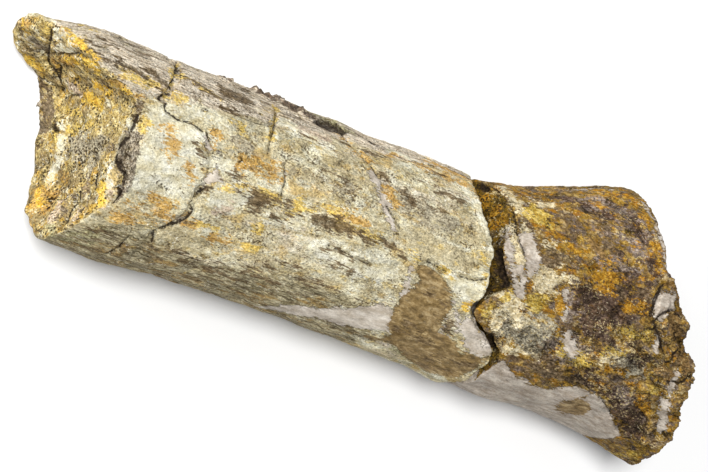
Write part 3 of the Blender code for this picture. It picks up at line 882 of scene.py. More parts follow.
class Palette:
    """A short way of writing a material's nodes."""

    SHIFT = (1.0, 1.7, 0.6)
    DISTORTION = 0.3

    def __init__(self, name: str) -> None:
        """Start a material.

        Args:
            name: the material's name.
        """
        self.material = bpy.data.materials.new(name)
        self.material.use_nodes = True
        self.tree = self.material.node_tree
        self.shader = self.tree.nodes["Principled BSDF"]
        self.place = self.tree.nodes.new("ShaderNodeTexCoord").outputs["Object"]
        self.known: dict[tuple, bpy.types.NodeSocket] = {}

    def feed(self, socket: bpy.types.NodeSocket, value: object) -> None:
        """Link a socket to another or set its value.

        Args:
            socket: the input.
            value: a socket, a value, or None to leave the input alone.
        """
        if isinstance(value, bpy.types.NodeSocket):
            self.tree.links.new(value, socket)
        elif value is not None:
            socket.default_value = value

    def math(self, operation: str, first: object, second: object = None) -> bpy.types.NodeSocket:
        """Return a sum, product or other result of two values.

        Args:
            operation: the Math node's name for it.
            first: a socket or a number.
            second: another, where the operation takes two.

        Returns:
            The result.
        """
        node = self.tree.nodes.new("ShaderNodeMath")
        node.operation = operation
        self.feed(node.inputs[0], first)
        self.feed(node.inputs[1], second)
        return node.outputs[0]

    def rise(self, value: object, low: float, high: float, top: float = 1.0,
             bottom: float = 0.0) -> bpy.types.NodeSocket:
        """Return bottom below low, top above high and a smooth rise between them.

        Args:
            value: the value that rises.
            low: where the rise starts.
            high: where it ends.
            top: the result above it.
            bottom: the result below it.

        Returns:
            The result.
        """
        node = self.tree.nodes.new("ShaderNodeMapRange")
        node.interpolation_type = "SMOOTHSTEP"
        self.feed(node.inputs["Value"], value)
        for name, number in (("From Min", low), ("From Max", high), ("To Min", bottom), ("To Max", top)):
            node.inputs[name].default_value = number
        return node.outputs[0]

    def field(self, field: Stain | str) -> bpy.types.NodeSocket:
        """Return a stain's field on the piece, or another field by its name.

        Args:
            field: a stain, or a field's name.

        Returns:
            The field's value.
        """
        name = field.value if isinstance(field, Stain) else field
        if (name,) not in self.known:
            node = self.tree.nodes.new("ShaderNodeAttribute")
            node.attribute_name = name
            self.known[(name,)] = node.outputs["Fac"]
        return self.known[(name,)]

    def spot(self, size: float, stretch: float, seed: float) -> bpy.types.NodeSocket:
        """Return the place on the piece, counted in swellings of a size.

        Args:
            size: a swelling's size in millimetres.
            stretch: how many times longer it is along the bone.
            seed: how far the pattern is moved.

        Returns:
            A vector socket.
        """
        node = self.tree.nodes.new("ShaderNodeMapping")
        scale = 1.0 / (size * MM)
        self.feed(node.inputs["Vector"], self.place)
        node.inputs["Location"].default_value = tuple(seed * part for part in self.SHIFT)
        node.inputs["Scale"].default_value = (scale / stretch, scale, scale)
        return node.outputs[0]

    def clouds(self, size: float, stretch: float = 1.0, seed: float = 0.0, detail: float = 3.0,
               harsh: float = 0.6) -> bpy.types.NodeSocket:
        """Return noise around 0.5, with stronger fine parts the harsher it is.

        Args:
            size: a swelling's size in millimetres.
            stretch: how many times longer it is along the bone.
            seed: how far the pattern is moved.
            detail: how many finer layers it has.
            harsh: how strong they are.

        Returns:
            The noise.
        """
        key = (size, stretch, seed, detail, harsh)
        if key not in self.known:
            spot = self.spot(size, stretch, seed)
            node = self.tree.nodes.new("ShaderNodeTexNoise")
            self.feed(node.inputs["Vector"], spot)
            node.inputs["Scale"].default_value = 1.0
            node.inputs["Detail"].default_value = detail
            node.inputs["Roughness"].default_value = harsh
            node.inputs["Distortion"].default_value = self.DISTORTION
            self.known[key] = node.outputs["Fac"]
        return self.known[key]

    def cells(self, size: float, seed: float) -> bpy.types.NodeSocket:
        """Return the distance from the middle of the nearest of many cells.

        Args:
            size: a cell's size in millimetres.
            seed: how far the pattern is moved.

        Returns:
            The distance, in cells.
        """
        spot = self.spot(size, 1.0, seed)
        node = self.tree.nodes.new("ShaderNodeTexVoronoi")
        self.feed(node.inputs["Vector"], spot)
        node.inputs["Scale"].default_value = 1.0
        return node.outputs["Distance"]

    def ramp(self, level: object, colours: tuple[Colour, ...], spread: float) -> bpy.types.NodeSocket:
        """Return colours that follow one another as a level rises from below 0.5 to above it.

        Args:
            level: the level.
            colours: the colours, from the lowest level to the highest.
            spread: how far from 0.5 the first and the last colour lie.

        Returns:
            The colour.
        """
        node = self.tree.nodes.new("ShaderNodeValToRGB")
        stops = node.color_ramp.elements
        last = len(colours) - 1
        places = [0.5 + spread * (2.0 * index / last - 1.0) for index in range(len(colours))]
        stops[0].position, stops[-1].position = places[0], places[-1]
        for place in places[1:-1]:
            stops.new(place)
        for stop, colour in zip(stops, colours):
            stop.color = (*colour, 1.0)
        self.feed(node.inputs["Fac"], level)
        return node.outputs["Color"]

    def mix(self, under: object, over: object, share: object) -> bpy.types.NodeSocket:
        """Lay one colour over another.

        Args:
            under: the colour below.
            over: the colour on top.
            share: how much of the upper one shows.

        Returns:
            The colour.
        """
        node = self.tree.nodes.new("ShaderNodeMix")
        node.data_type = "RGBA"
        for socket, value in zip((node.inputs[0], node.inputs[6], node.inputs[7]), (share, under, over)):
            self.feed(socket, (*value, 1.0) if isinstance(value, tuple) else value)
        return node.outputs[2]

    def swing(self, pattern: object, reach: float) -> bpy.types.NodeSocket:
        """Return a pattern around 0.5 as one around 0, made larger by a reach."""
        return self.math("MULTIPLY", self.math("SUBTRACT", pattern, 0.5), reach)

    def shade(self, colour: object, value: object) -> bpy.types.NodeSocket:
        """Make a colour lighter or darker by a factor.

        Args:
            colour: the colour.
            value: the factor.

        Returns:
            The colour.
        """
        node = self.tree.nodes.new("ShaderNodeVectorMath")
        node.operation = "SCALE"
        self.feed(node.inputs[0], colour)
        self.feed(node.inputs["Scale"], value)
        return node.outputs[0]


@dataclass(frozen=True)
class Tone:
    """A mottle of several colours, from the darkest to the lightest."""

    colours: tuple[Colour, ...]
    size: float = 1.6
    stretch: float = 1.5
    harsh: float = 0.65
    spread: float = 0.13
    seed: float = 0.0

    def colour(self, palette: Palette) -> bpy.types.NodeSocket:
        """Return the mottle's colour."""
        level = palette.clouds(self.size, self.stretch, self.seed, detail=4.0, harsh=self.harsh)
        return palette.ramp(level, self.colours, self.spread)


@dataclass(frozen=True)
class Wash:
    """Clouds of one mottle all over a surface.

    cover is the noise level above which the mottle lies. A field, if one is named, adds
    lift to the noise well inside it and takes it away well outside it.
    """

    tone: Tone
    size: float
    cover: float
    edge: float = 0.05
    stretch: float = 1.5
    strength: float = 0.85
    seed: float = 0.0
    field: Stain | None = None
    lift: float = 0.0
    reach: float = 8.0

    def lay(self, palette: Palette, under: object) -> bpy.types.NodeSocket:
        """Lay the wash over a colour.

        Args:
            palette: the material's nodes.
            under: the colour below.

        Returns:
            The colour.
        """
        level = palette.clouds(self.size, self.stretch, self.seed, detail=5.0, harsh=0.66)
        if self.field:
            near = palette.rise(palette.field(self.field), -self.reach, self.reach, self.lift, -self.lift)
            level = palette.math("ADD", level, near)
        share = palette.rise(level, self.cover - self.edge, self.cover + self.edge, self.strength)
        return palette.mix(under, self.tone.colour(palette), share)


@dataclass(frozen=True)
class Patch:
    """A mottle that fills a field's marks, with a ragged and fibrous edge.

    ragged and fibrous are how far its edge wanders, edge how soft it is, in millimetres, and
    holes how much of it is worn through. SWING is how far its noise strays from the middle.
    """

    SWING = 0.1

    field: Stain
    tone: Tone
    ragged: float = 2.4
    fibrous: float = 1.2
    edge: float = 0.9
    strength: float = 0.92
    holes: float = 0.5
    seed: float = 0.0

    def share(self, palette: Palette) -> bpy.types.NodeSocket:
        """Return how much of the patch shows at each place.

        Args:
            palette: the material's nodes.

        Returns:
            The share, from 0 to the patch's strength.
        """
        wander = palette.clouds(size=7.0, stretch=1.6, seed=self.seed, detail=5.0, harsh=0.75)
        fibre = palette.clouds(size=1.3, stretch=6.0, seed=self.seed + 0.5)
        level = palette.field(self.field)
        for pattern, reach in ((wander, self.ragged), (fibre, self.fibrous)):
            level = palette.math("ADD", level, palette.swing(pattern, reach / self.SWING))
        share = palette.rise(level, -self.edge, self.edge, self.strength)
        if not self.holes:
            return share
        wear = palette.clouds(size=2.2, stretch=2.0, seed=self.seed + 0.8, detail=4.0, harsh=0.7)
        left = palette.rise(wear, low=0.54, high=0.64, top=1.0 - self.holes, bottom=1.0)
        return palette.math("MULTIPLY", share, left)

    def lay(self, palette: Palette, under: object) -> bpy.types.NodeSocket:
        """Lay the patch over a colour."""
        return palette.mix(under, self.tone.colour(palette), self.share(palette))


@dataclass(frozen=True)
class Specks:
    """Fine specks in clumps.

    level is the noise level above which a speck shows. The grit field lowers it by lift. A
    CLUMP is so many specks wide and shifts the level by its WEIGHT, and EDGE is how soft a
    speck's edge is.
    """

    CLUMP = 8.0
    WEIGHT = 0.7
    EDGE = 0.07

    colour: Colour
    size: float
    level: float
    lift: float = 0.0
    strength: float = 0.85
    seed: float = 0.0

    def lay(self, palette: Palette, under: object) -> bpy.types.NodeSocket:
        """Lay the specks over a colour.

        Args:
            palette: the material's nodes.
            under: the colour below.

        Returns:
            The colour.
        """
        grain = palette.clouds(self.size, stretch=1.4, seed=self.seed, detail=2.0)
        clump = palette.clouds(self.size * self.CLUMP, stretch=1.6, seed=self.seed + 3.0, detail=4.0)
        level = palette.math("ADD", grain, palette.swing(clump, self.WEIGHT))
        if self.lift:
            gritty = palette.rise(palette.field(Stain.GRIT), low=-8.0, high=6.0, top=self.lift)
            clean = palette.rise(palette.field(Stain.PALE), low=-1.0, high=3.0, top=0.03)
            level = palette.math("SUBTRACT", palette.math("ADD", level, gritty), clean)
        share = palette.rise(level, self.level, self.level + self.EDGE, self.strength)
        return palette.mix(under, self.colour, share)


@dataclass(frozen=True)
class BoneFinish:
    """The look of one piece of bone, from its ground colour to its cracks.

    hollow_shade is how much darker the painted shade makes the hollows, light how much lighter the
    painted highlight makes the heights, smoother how much less rough filler is, and filler_grain and
    filler_bump how much filler calms them.
    """

    name: str
    ground: Tone
    washes: tuple[Wash, ...]
    inner_ground: Tone
    inner_washes: tuple[Wash, ...]
    pore_colour: Colour
    patches: tuple[Patch, ...]
    specks: tuple[Specks, ...]
    filler: Tone
    late_patches: tuple[Patch, ...] = ()
    # How much the painted shade darkens the hollows.
    hollow_shade: float = 0.5
    brown: Tone = Tone(
        ((0.10, 0.06, 0.02), (0.19, 0.122, 0.045), (0.28, 0.188, 0.078), (0.44, 0.325, 0.165)),
        size=3.6, stretch=2.0, harsh=0.72,
    )
    # The near-black painted shade of the cracks and shadow lines.
    crack_shade_colour: Colour = (0.022, 0.015, 0.01)
    crack_wander: float = 2.0
    rim_wander: float = 9.0
    pore_size: float = 1.55
    pore_clumping: float = 1.2
    rough: float = 0.88
    smoother: float = 0.14
    gloss: float = 0.1
    # How much the painted highlight lightens the heights.
    light: float = 1.12
    bumpiness: float = 0.85
    bump_coarse: float = 2.6
    filler_grain: float = 0.6
    filler_bump: float = 0.75

    def base(self, palette: Palette, pores: object, broken: object) -> bpy.types.NodeSocket:
        """Return the colour of the skin and of the broken faces, with their stains.

        Args:
            palette: the material's nodes.
            pores: how much of each place is a pore.
            broken: how much of each place is a broken face.

        Returns:
            The colour.
        """
        skin = self.ground.colour(palette)
        for wash in self.washes:
            skin = wash.lay(palette, skin)
        inner = self.inner_ground.colour(palette)
        for wash in self.inner_washes:
            inner = wash.lay(palette, inner)
        colour = palette.mix(skin, inner, broken)
        for patch in self.patches:
            colour = patch.lay(palette, colour)
        colour = palette.mix(colour, self.pore_colour, pores)
        for specks in self.specks:
            colour = specks.lay(palette, colour)
        return colour

    def make(self) -> bpy.types.Material:
        """Return the finished material.

        Returns:
            The material, which reads the piece's fields.
        """
        palette = Palette(self.name)
        clumps = palette.math("SUBTRACT", palette.clouds(size=9.0, seed=25.0), 0.5)
        wander = palette.math("MULTIPLY", clumps, self.rim_wander)
        rim = palette.math("ADD", palette.field("inside"), wander)
        broken = palette.rise(rim, low=1.0, high=2.4)
        pores = palette.math("MULTIPLY", self.pores(palette, clumps), broken)
        colour = self.base(palette, pores, broken)
        filler = Patch(
            Stain.FILLER, self.filler,
            ragged=1.3, fibrous=0.8, edge=0.45, strength=0.94, holes=0.12, seed=12.0,
        )
        brown = Patch(
            Stain.BROWN, self.brown,
            ragged=1.5, fibrous=0.8, edge=0.5, strength=0.95, holes=0.1, seed=11.0,
        )
        smooth = palette.math("MAXIMUM", filler.share(palette), brown.share(palette))
        colour = brown.lay(palette, filler.lay(palette, colour))
        for patch in self.late_patches:
            colour = patch.lay(palette, colour)
        # Fine grain and soft clouds, with painted shade in the hollows and a painted highlight on the
        # heights.
        colour = palette.shade(colour, self.grain_and_painted_shade(palette, smooth))
        # Painted shade: the cracks and shadow lines turn near black.
        colour = palette.mix(colour, self.crack_shade_colour, self.crack_cuts_and_shade(palette))
        rough = palette.math("SUBTRACT", self.rough, palette.math("MULTIPLY", smooth, self.smoother))
        palette.feed(palette.shader.inputs["Base Color"], colour)
        palette.feed(palette.shader.inputs["Roughness"], rough)
        palette.shader.inputs["Specular IOR Level"].default_value = self.gloss
        self.bump(palette, smooth, pores)
        return palette.material

    def pores(self, palette: Palette, clumps: object) -> bpy.types.NodeSocket:
        """Return where the pores of the spongy bone are, fewer of them in the solid stains.

        Args:
            palette: the material's nodes.
            clumps: noise around 0 that crowds the pores together.

        Returns:
            The share of a pore.
        """
        cells = palette.cells(self.pore_size, seed=24.0)
        crowd = palette.math("SUBTRACT", cells, palette.math("MULTIPLY", clumps, self.pore_clumping))
        for stain in (Stain.PALE, Stain.GOLD, Stain.TAUPE_AND_SHADE):
            solid = palette.rise(palette.field(stain), low=-1.5, high=1.5, top=0.14)
            crowd = palette.math("ADD", crowd, solid)
        return palette.rise(crowd, low=0.24, high=0.36, top=0.0, bottom=0.9)

    def crack_cuts_and_shade(self, palette: Palette) -> bpy.types.NodeSocket:
        """Return where the cracks and shadow lines get their near-black painted shade, with uneven edges.

        Args:
            palette: the material's nodes.

        Returns:
            The share of the crack's colour.
        """
        wander = palette.swing(palette.clouds(size=1.4, seed=34.0), self.crack_wander)
        depth = palette.math("ADD", palette.field(Stain.CRACK_AND_SHADOW_LINE), wander)
        return palette.rise(depth, low=-0.45, high=0.25, top=0.95)

    def grain_and_painted_shade(self, palette: Palette, smooth: object) -> bpy.types.NodeSocket:
        """Return how light the surface is: painted shade in the hollows, a painted highlight on the
        heights, and fine grains and soft clouds.

        Args:
            palette: the material's nodes.
            smooth: how much of each place is filler.

        Returns:
            A factor for the colour.
        """
        grain = palette.rise(self.fine_grain(palette), low=0.32, high=0.68, top=0.34, bottom=-0.34)
        calm = palette.math("SUBTRACT", 1.0, palette.math("MULTIPLY", smooth, self.filler_grain))
        pale = palette.rise(palette.field(Stain.PALE), low=-1.0, high=4.0, top=0.6, bottom=1.0)
        grain = palette.math("MULTIPLY", palette.math("MULTIPLY", grain, calm), pale)
        soft = palette.clouds(size=9.0, stretch=1.6, seed=36.0, detail=4.0)
        clouds = palette.rise(soft, low=0.35, high=0.65, top=0.12, bottom=-0.12)
        # Painted shade and highlight: the colour darkens in the carved hollows and lightens on the
        # heights.
        relief, dark = palette.field("relief"), self.light - self.hollow_shade
        painted_hollow_shade = palette.rise(relief, low=-1.8, high=0.9, top=self.light, bottom=dark)
        lift = palette.rise(palette.field(Stain.PALE), low=-1.0, high=3.0, top=0.07)
        return palette.math("ADD", palette.math("ADD", grain, clouds), palette.math("ADD", painted_hollow_shade, lift))

    @staticmethod
    def fine_grain(palette: Palette) -> bpy.types.NodeSocket:
        """Return the noise of the finest grain, which both the colour and the bump follow."""
        return palette.clouds(size=0.95, stretch=1.4, seed=35.0)

    def bump(self, palette: Palette, smooth: object, pores: object) -> None:
        """Give the surface its finest relief, less of it where filler is smooth.

        Args:
            palette: the material's nodes.
            smooth: how much of each place is filler.
            pores: how much of each place is a pore.
        """
        coarse = palette.clouds(size=2.8, stretch=1.8, seed=42.0, detail=4.0)
        coarse = palette.math("MULTIPLY", coarse, self.bump_coarse)
        height = palette.math("ADD", coarse, self.fine_grain(palette))
        calm = palette.math("SUBTRACT", 1.0, palette.math("MULTIPLY", smooth, self.filler_bump))
        height = palette.math("SUBTRACT", palette.math("MULTIPLY", height, calm), pores)
        node = palette.tree.nodes.new("ShaderNodeBump")
        node.inputs["Strength"].default_value = self.bumpiness
        node.inputs["Distance"].default_value = MM
        palette.feed(node.inputs["Height"], height)
        palette.feed(palette.shader.inputs["Normal"], node.outputs[0])


SHARED_PATCHES = (
    Patch(
        Stain.CRUST,
        Tone(((0.045, 0.03, 0.022), (0.10, 0.07, 0.05), (0.24, 0.16, 0.10))),
        ragged=1.0, fibrous=0.6, seed=13.0,
    ),
    # Near-black painted shade in the carved pits, the deep gap of the break and the slit under the
    # overhanging rim.
    Patch(
        Stain.PIT_AND_SHADE,
        Tone(((0.015, 0.01, 0.008), (0.045, 0.03, 0.02), (0.10, 0.065, 0.04))),
        ragged=0.8, fibrous=0.4, holes=0.2, seed=14.0,
    ),
)
CREAM = BoneFinish(
    name="cream fossil cortex",
    ground=Tone(
        ((0.44, 0.36, 0.19), (0.59, 0.52, 0.33), (0.68, 0.63, 0.44), (0.74, 0.71, 0.55)),
        size=6.0, stretch=1.8,
    ),
    washes=(
        Wash(
            Tone(((0.44, 0.36, 0.20), (0.58, 0.50, 0.31))),
            size=16.0, cover=0.54, edge=0.08, stretch=2.0, strength=0.8, seed=1.0,
        ),
        Wash(
            Tone(((0.46, 0.30, 0.09), (0.62, 0.45, 0.17))),
            size=11.0, cover=0.58, stretch=2.0, strength=0.75, seed=3.0,
        ),
        Wash(
            Tone(((0.58, 0.42, 0.14), (0.72, 0.58, 0.26))),
            size=4.0, cover=0.61, edge=0.04, stretch=1.8, strength=0.8, seed=4.0,
        ),
        Wash(
            Tone(((0.40, 0.31, 0.21), (0.72, 0.62, 0.48), (0.84, 0.76, 0.63)), size=1.3, stretch=8.0),
            size=14.0, cover=0.48, edge=0.10, stretch=3.0, strength=0.9, seed=41.0, field=Stain.UPPER,
            lift=0.16,
        ),
        Wash(
            Tone(((0.11, 0.075, 0.04), (0.26, 0.19, 0.12)), size=1.2, stretch=5.0),
            size=2.6, cover=0.66, edge=0.04, stretch=9.0, strength=0.9, seed=42.0, field=Stain.UPPER,
            lift=0.08,
        ),
        Wash(
            Tone(
                ((0.15, 0.12, 0.06), (0.36, 0.31, 0.18), (0.54, 0.48, 0.32)),
                size=1.2, stretch=6.0, spread=0.1,
            ),
            size=14.0, cover=0.49, edge=0.10, stretch=3.0, strength=0.9, seed=43.0, field=Stain.LOWER,
            lift=0.16,
        ),
        Wash(
            Tone(((0.25, 0.14, 0.04), (0.40, 0.27, 0.09))),
            size=5.0, cover=0.65, stretch=4.0, strength=0.75, seed=44.0, field=Stain.LOWER, lift=0.09,
        ),
        Wash(
            Tone(((0.08, 0.055, 0.03), (0.18, 0.13, 0.07))),
            size=2.4, cover=0.65, edge=0.04, stretch=6.0, seed=45.0, field=Stain.LOWER, lift=0.09,
        ),
    ),
    inner_ground=Tone(
        ((0.34, 0.23, 0.07), (0.50, 0.37, 0.13), (0.64, 0.50, 0.21), (0.78, 0.66, 0.35)),
        size=2.6, stretch=1.0, harsh=0.75,
    ),
    inner_washes=(
        Wash(
            Tone(((0.24, 0.17, 0.07), (0.42, 0.33, 0.17))),
            size=12.0, cover=0.51, stretch=1.0, seed=13.0,
        ),
        Wash(
            Tone(((0.50, 0.28, 0.03), (0.68, 0.44, 0.08))),
            size=8.0, cover=0.58, stretch=1.0, strength=0.8, seed=16.0,
        ),
        Wash(
            Tone(((0.78, 0.70, 0.46), (0.86, 0.82, 0.62))),
            size=5.0, cover=0.59, stretch=1.0, seed=15.0,
        ),
        Wash(
            Tone(((0.16, 0.11, 0.05), (0.30, 0.21, 0.10))),
            size=5.0, cover=0.60, stretch=1.0, seed=14.0,
        ),
    ),
    pore_colour=(0.045, 0.03, 0.014),
    patches=(
        Patch(
            Stain.GREY,
            Tone(((0.20, 0.16, 0.10), (0.42, 0.37, 0.26), (0.60, 0.54, 0.39))),
            ragged=4.0, seed=15.0,
        ),
        Patch(
            Stain.PALE,
            Tone(((0.58, 0.52, 0.34), (0.71, 0.67, 0.50), (0.79, 0.77, 0.64)), size=5.0),
            ragged=3.2, holes=0.25, seed=5.0,
        ),
        Patch(
            Stain.ROSE,
            Tone(((0.34, 0.25, 0.17), (0.56, 0.44, 0.32), (0.70, 0.59, 0.46))),
            ragged=1.4, seed=10.0,
        ),
        Patch(
            Stain.GREEN,
            Tone(((0.20, 0.165, 0.07), (0.43, 0.39, 0.21), (0.62, 0.57, 0.35))),
            seed=17.0,
        ),
        Patch(
            Stain.ORANGE,
            Tone(((0.34, 0.18, 0.04), (0.58, 0.34, 0.08), (0.70, 0.47, 0.17))),
            ragged=3.2, fibrous=1.6, seed=6.0,
        ),
        Patch(
            Stain.YELLOW,
            Tone(((0.52, 0.34, 0.07), (0.74, 0.52, 0.12), (0.86, 0.68, 0.25))),
            ragged=2.0, seed=7.0,
        ),
        Patch(
            Stain.GOLD,
            Tone(((0.42, 0.22, 0.02), (0.74, 0.46, 0.05), (0.90, 0.66, 0.15)), size=2.4),
            ragged=1.6, holes=0.1, seed=19.0,
        ),
        # Dark brown-grey, partly the bone's colour and partly painted shade in the recess and the blade
        # gaps.
        Patch(
            Stain.TAUPE_AND_SHADE,
            Tone(((0.08, 0.055, 0.035), (0.18, 0.135, 0.085), (0.30, 0.23, 0.15))),
            ragged=1.8, holes=0.15, seed=20.0,
        ),
        Patch(
            Stain.BARE,
            Tone(
                ((0.035, 0.025, 0.016), (0.13, 0.10, 0.07), (0.25, 0.205, 0.15), (0.50, 0.43, 0.32)),
                size=1.4, stretch=0.5, harsh=0.75, spread=0.09,
            ),
            ragged=0.7, fibrous=0.5, edge=0.5, holes=0.2, seed=18.0,
        ),
    ),
    late_patches=(
        Patch(
            Stain.DARK,
            Tone(((0.055, 0.034, 0.014), (0.14, 0.092, 0.045), (0.27, 0.20, 0.11)), size=1.2, stretch=3.0),
            ragged=1.4, fibrous=1.4, edge=0.5, holes=0.35, seed=8.0,
        ),
    ) + SHARED_PATCHES,
    specks=(
        Specks((0.10, 0.07, 0.035), size=1.0, level=0.64, lift=0.055, seed=22.0),
        Specks((0.18, 0.12, 0.055), size=0.8, level=0.66, lift=0.05, strength=0.8, seed=31.0),
        Specks((0.86, 0.82, 0.68), size=1.1, level=0.69, strength=0.8, seed=23.0),
    ),
    filler=Tone(
        ((0.40, 0.34, 0.27), (0.53, 0.468, 0.395), (0.68, 0.62, 0.54)),
        size=5.0, stretch=2.6, harsh=0.7, spread=0.14,
    ),
    # How much the painted shade darkens the hollows.
    hollow_shade=0.42,
)
RUST = BoneFinish(
    name="rust fossil bone",
    ground=Tone(
        ((0.09, 0.052, 0.017), (0.20, 0.118, 0.028), (0.31, 0.19, 0.045), (0.46, 0.32, 0.11)),
        size=4.5, stretch=1.4, harsh=0.7,
    ),
    washes=(
        Wash(
            Tone(((0.14, 0.08, 0.014), (0.32, 0.19, 0.028), (0.46, 0.285, 0.048))),
            size=14.0, cover=0.50, edge=0.06, stretch=1.4, seed=1.0,
        ),
        Wash(
            Tone(((0.05, 0.032, 0.022), (0.13, 0.085, 0.05), (0.20, 0.14, 0.09))),
            size=9.0, cover=0.54, stretch=1.4, seed=2.0,
        ),
        Wash(
            Tone(((0.32, 0.22, 0.10), (0.56, 0.44, 0.24))),
            size=5.0, cover=0.59, stretch=1.4, strength=0.8, seed=3.0,
        ),
        Wash(
            Tone(((0.30, 0.12, 0.008), (0.48, 0.24, 0.015))),
            size=6.0, cover=0.585, stretch=1.4, strength=0.9, seed=4.0,
        ),
        Wash(
            Tone(((0.10, 0.075, 0.06), (0.22, 0.172, 0.14))),
            size=4.0, cover=0.575, stretch=1.4, strength=0.9, seed=5.0,
        ),
    ),
    inner_ground=Tone(
        ((0.05, 0.032, 0.008), (0.13, 0.082, 0.014), (0.25, 0.15, 0.02)),
        size=3.0, stretch=1.0,
    ),
    inner_washes=(
        Wash(
            Tone(((0.20, 0.105, 0.008), (0.32, 0.175, 0.012))),
            size=8.0, cover=0.55, edge=0.06, stretch=1.0, seed=13.0,
        ),
        Wash(
            Tone(((0.05, 0.035, 0.02), (0.12, 0.085, 0.04))),
            size=5.0, cover=0.56, stretch=1.0, seed=14.0,
        ),
    ),
    pore_colour=(0.03, 0.02, 0.01),
    patches=(
        Patch(
            Stain.GREY,
            Tone(((0.17, 0.15, 0.10), (0.37, 0.33, 0.24), (0.56, 0.52, 0.39))),
            ragged=4.0, seed=15.0,
        ),
        Patch(
            Stain.PALE,
            Tone(((0.48, 0.38, 0.20), (0.72, 0.61, 0.38), (0.84, 0.77, 0.56))),
            ragged=3.2, holes=0.3, seed=5.0,
        ),
        Patch(
            Stain.PURPLE,
            Tone(((0.026, 0.015, 0.012), (0.07, 0.044, 0.033), (0.15, 0.10, 0.075))),
            ragged=4.0, fibrous=1.6, holes=0.3, seed=9.0,
        ),
        Patch(
            Stain.ROSE,
            Tone(((0.085, 0.06, 0.048), (0.22, 0.17, 0.135), (0.38, 0.31, 0.26))),
            ragged=4.0, fibrous=1.6, seed=10.0,
        ),
        Patch(
            Stain.ORANGE,
            Tone(((0.23, 0.10, 0.008), (0.40, 0.195, 0.014), (0.56, 0.33, 0.045))),
            ragged=3.4, fibrous=1.4, holes=0.2, seed=6.0,
        ),
        Patch(
            Stain.YELLOW,
            Tone(((0.38, 0.23, 0.03), (0.58, 0.40, 0.07), (0.70, 0.55, 0.18))),
            ragged=2.6, holes=0.35, seed=7.0,
        ),
        Patch(
            Stain.BARE,
            Tone(((0.09, 0.05, 0.015), (0.20, 0.12, 0.042), (0.30, 0.185, 0.07))),
            ragged=0.8, fibrous=0.4, edge=0.5, holes=0.15, seed=18.0,
        ),
    ),
    late_patches=(
        Patch(
            Stain.DARK,
            Tone(((0.055, 0.037, 0.02), (0.14, 0.095, 0.052), (0.26, 0.19, 0.115))),
            ragged=2.0, seed=8.0,
        ),
    ) + SHARED_PATCHES,
    specks=(
        Specks((0.055, 0.037, 0.022), size=1.2, level=0.62, lift=0.05, strength=0.8, seed=22.0),
        Specks((0.60, 0.48, 0.24), size=1.2, level=0.66, lift=0.06, strength=0.75, seed=27.0),
        Specks((0.64, 0.56, 0.38), size=1.0, level=0.71, lift=0.02, strength=0.8, seed=23.0),
    ),
    filler=Tone(
        ((0.34, 0.285, 0.225), (0.48, 0.418, 0.35), (0.60, 0.545, 0.465)),
        size=4.0, stretch=2.4, harsh=0.7, spread=0.14,
    ),
    # How much the painted shade darkens the hollows.
    hollow_shade=0.6,
)


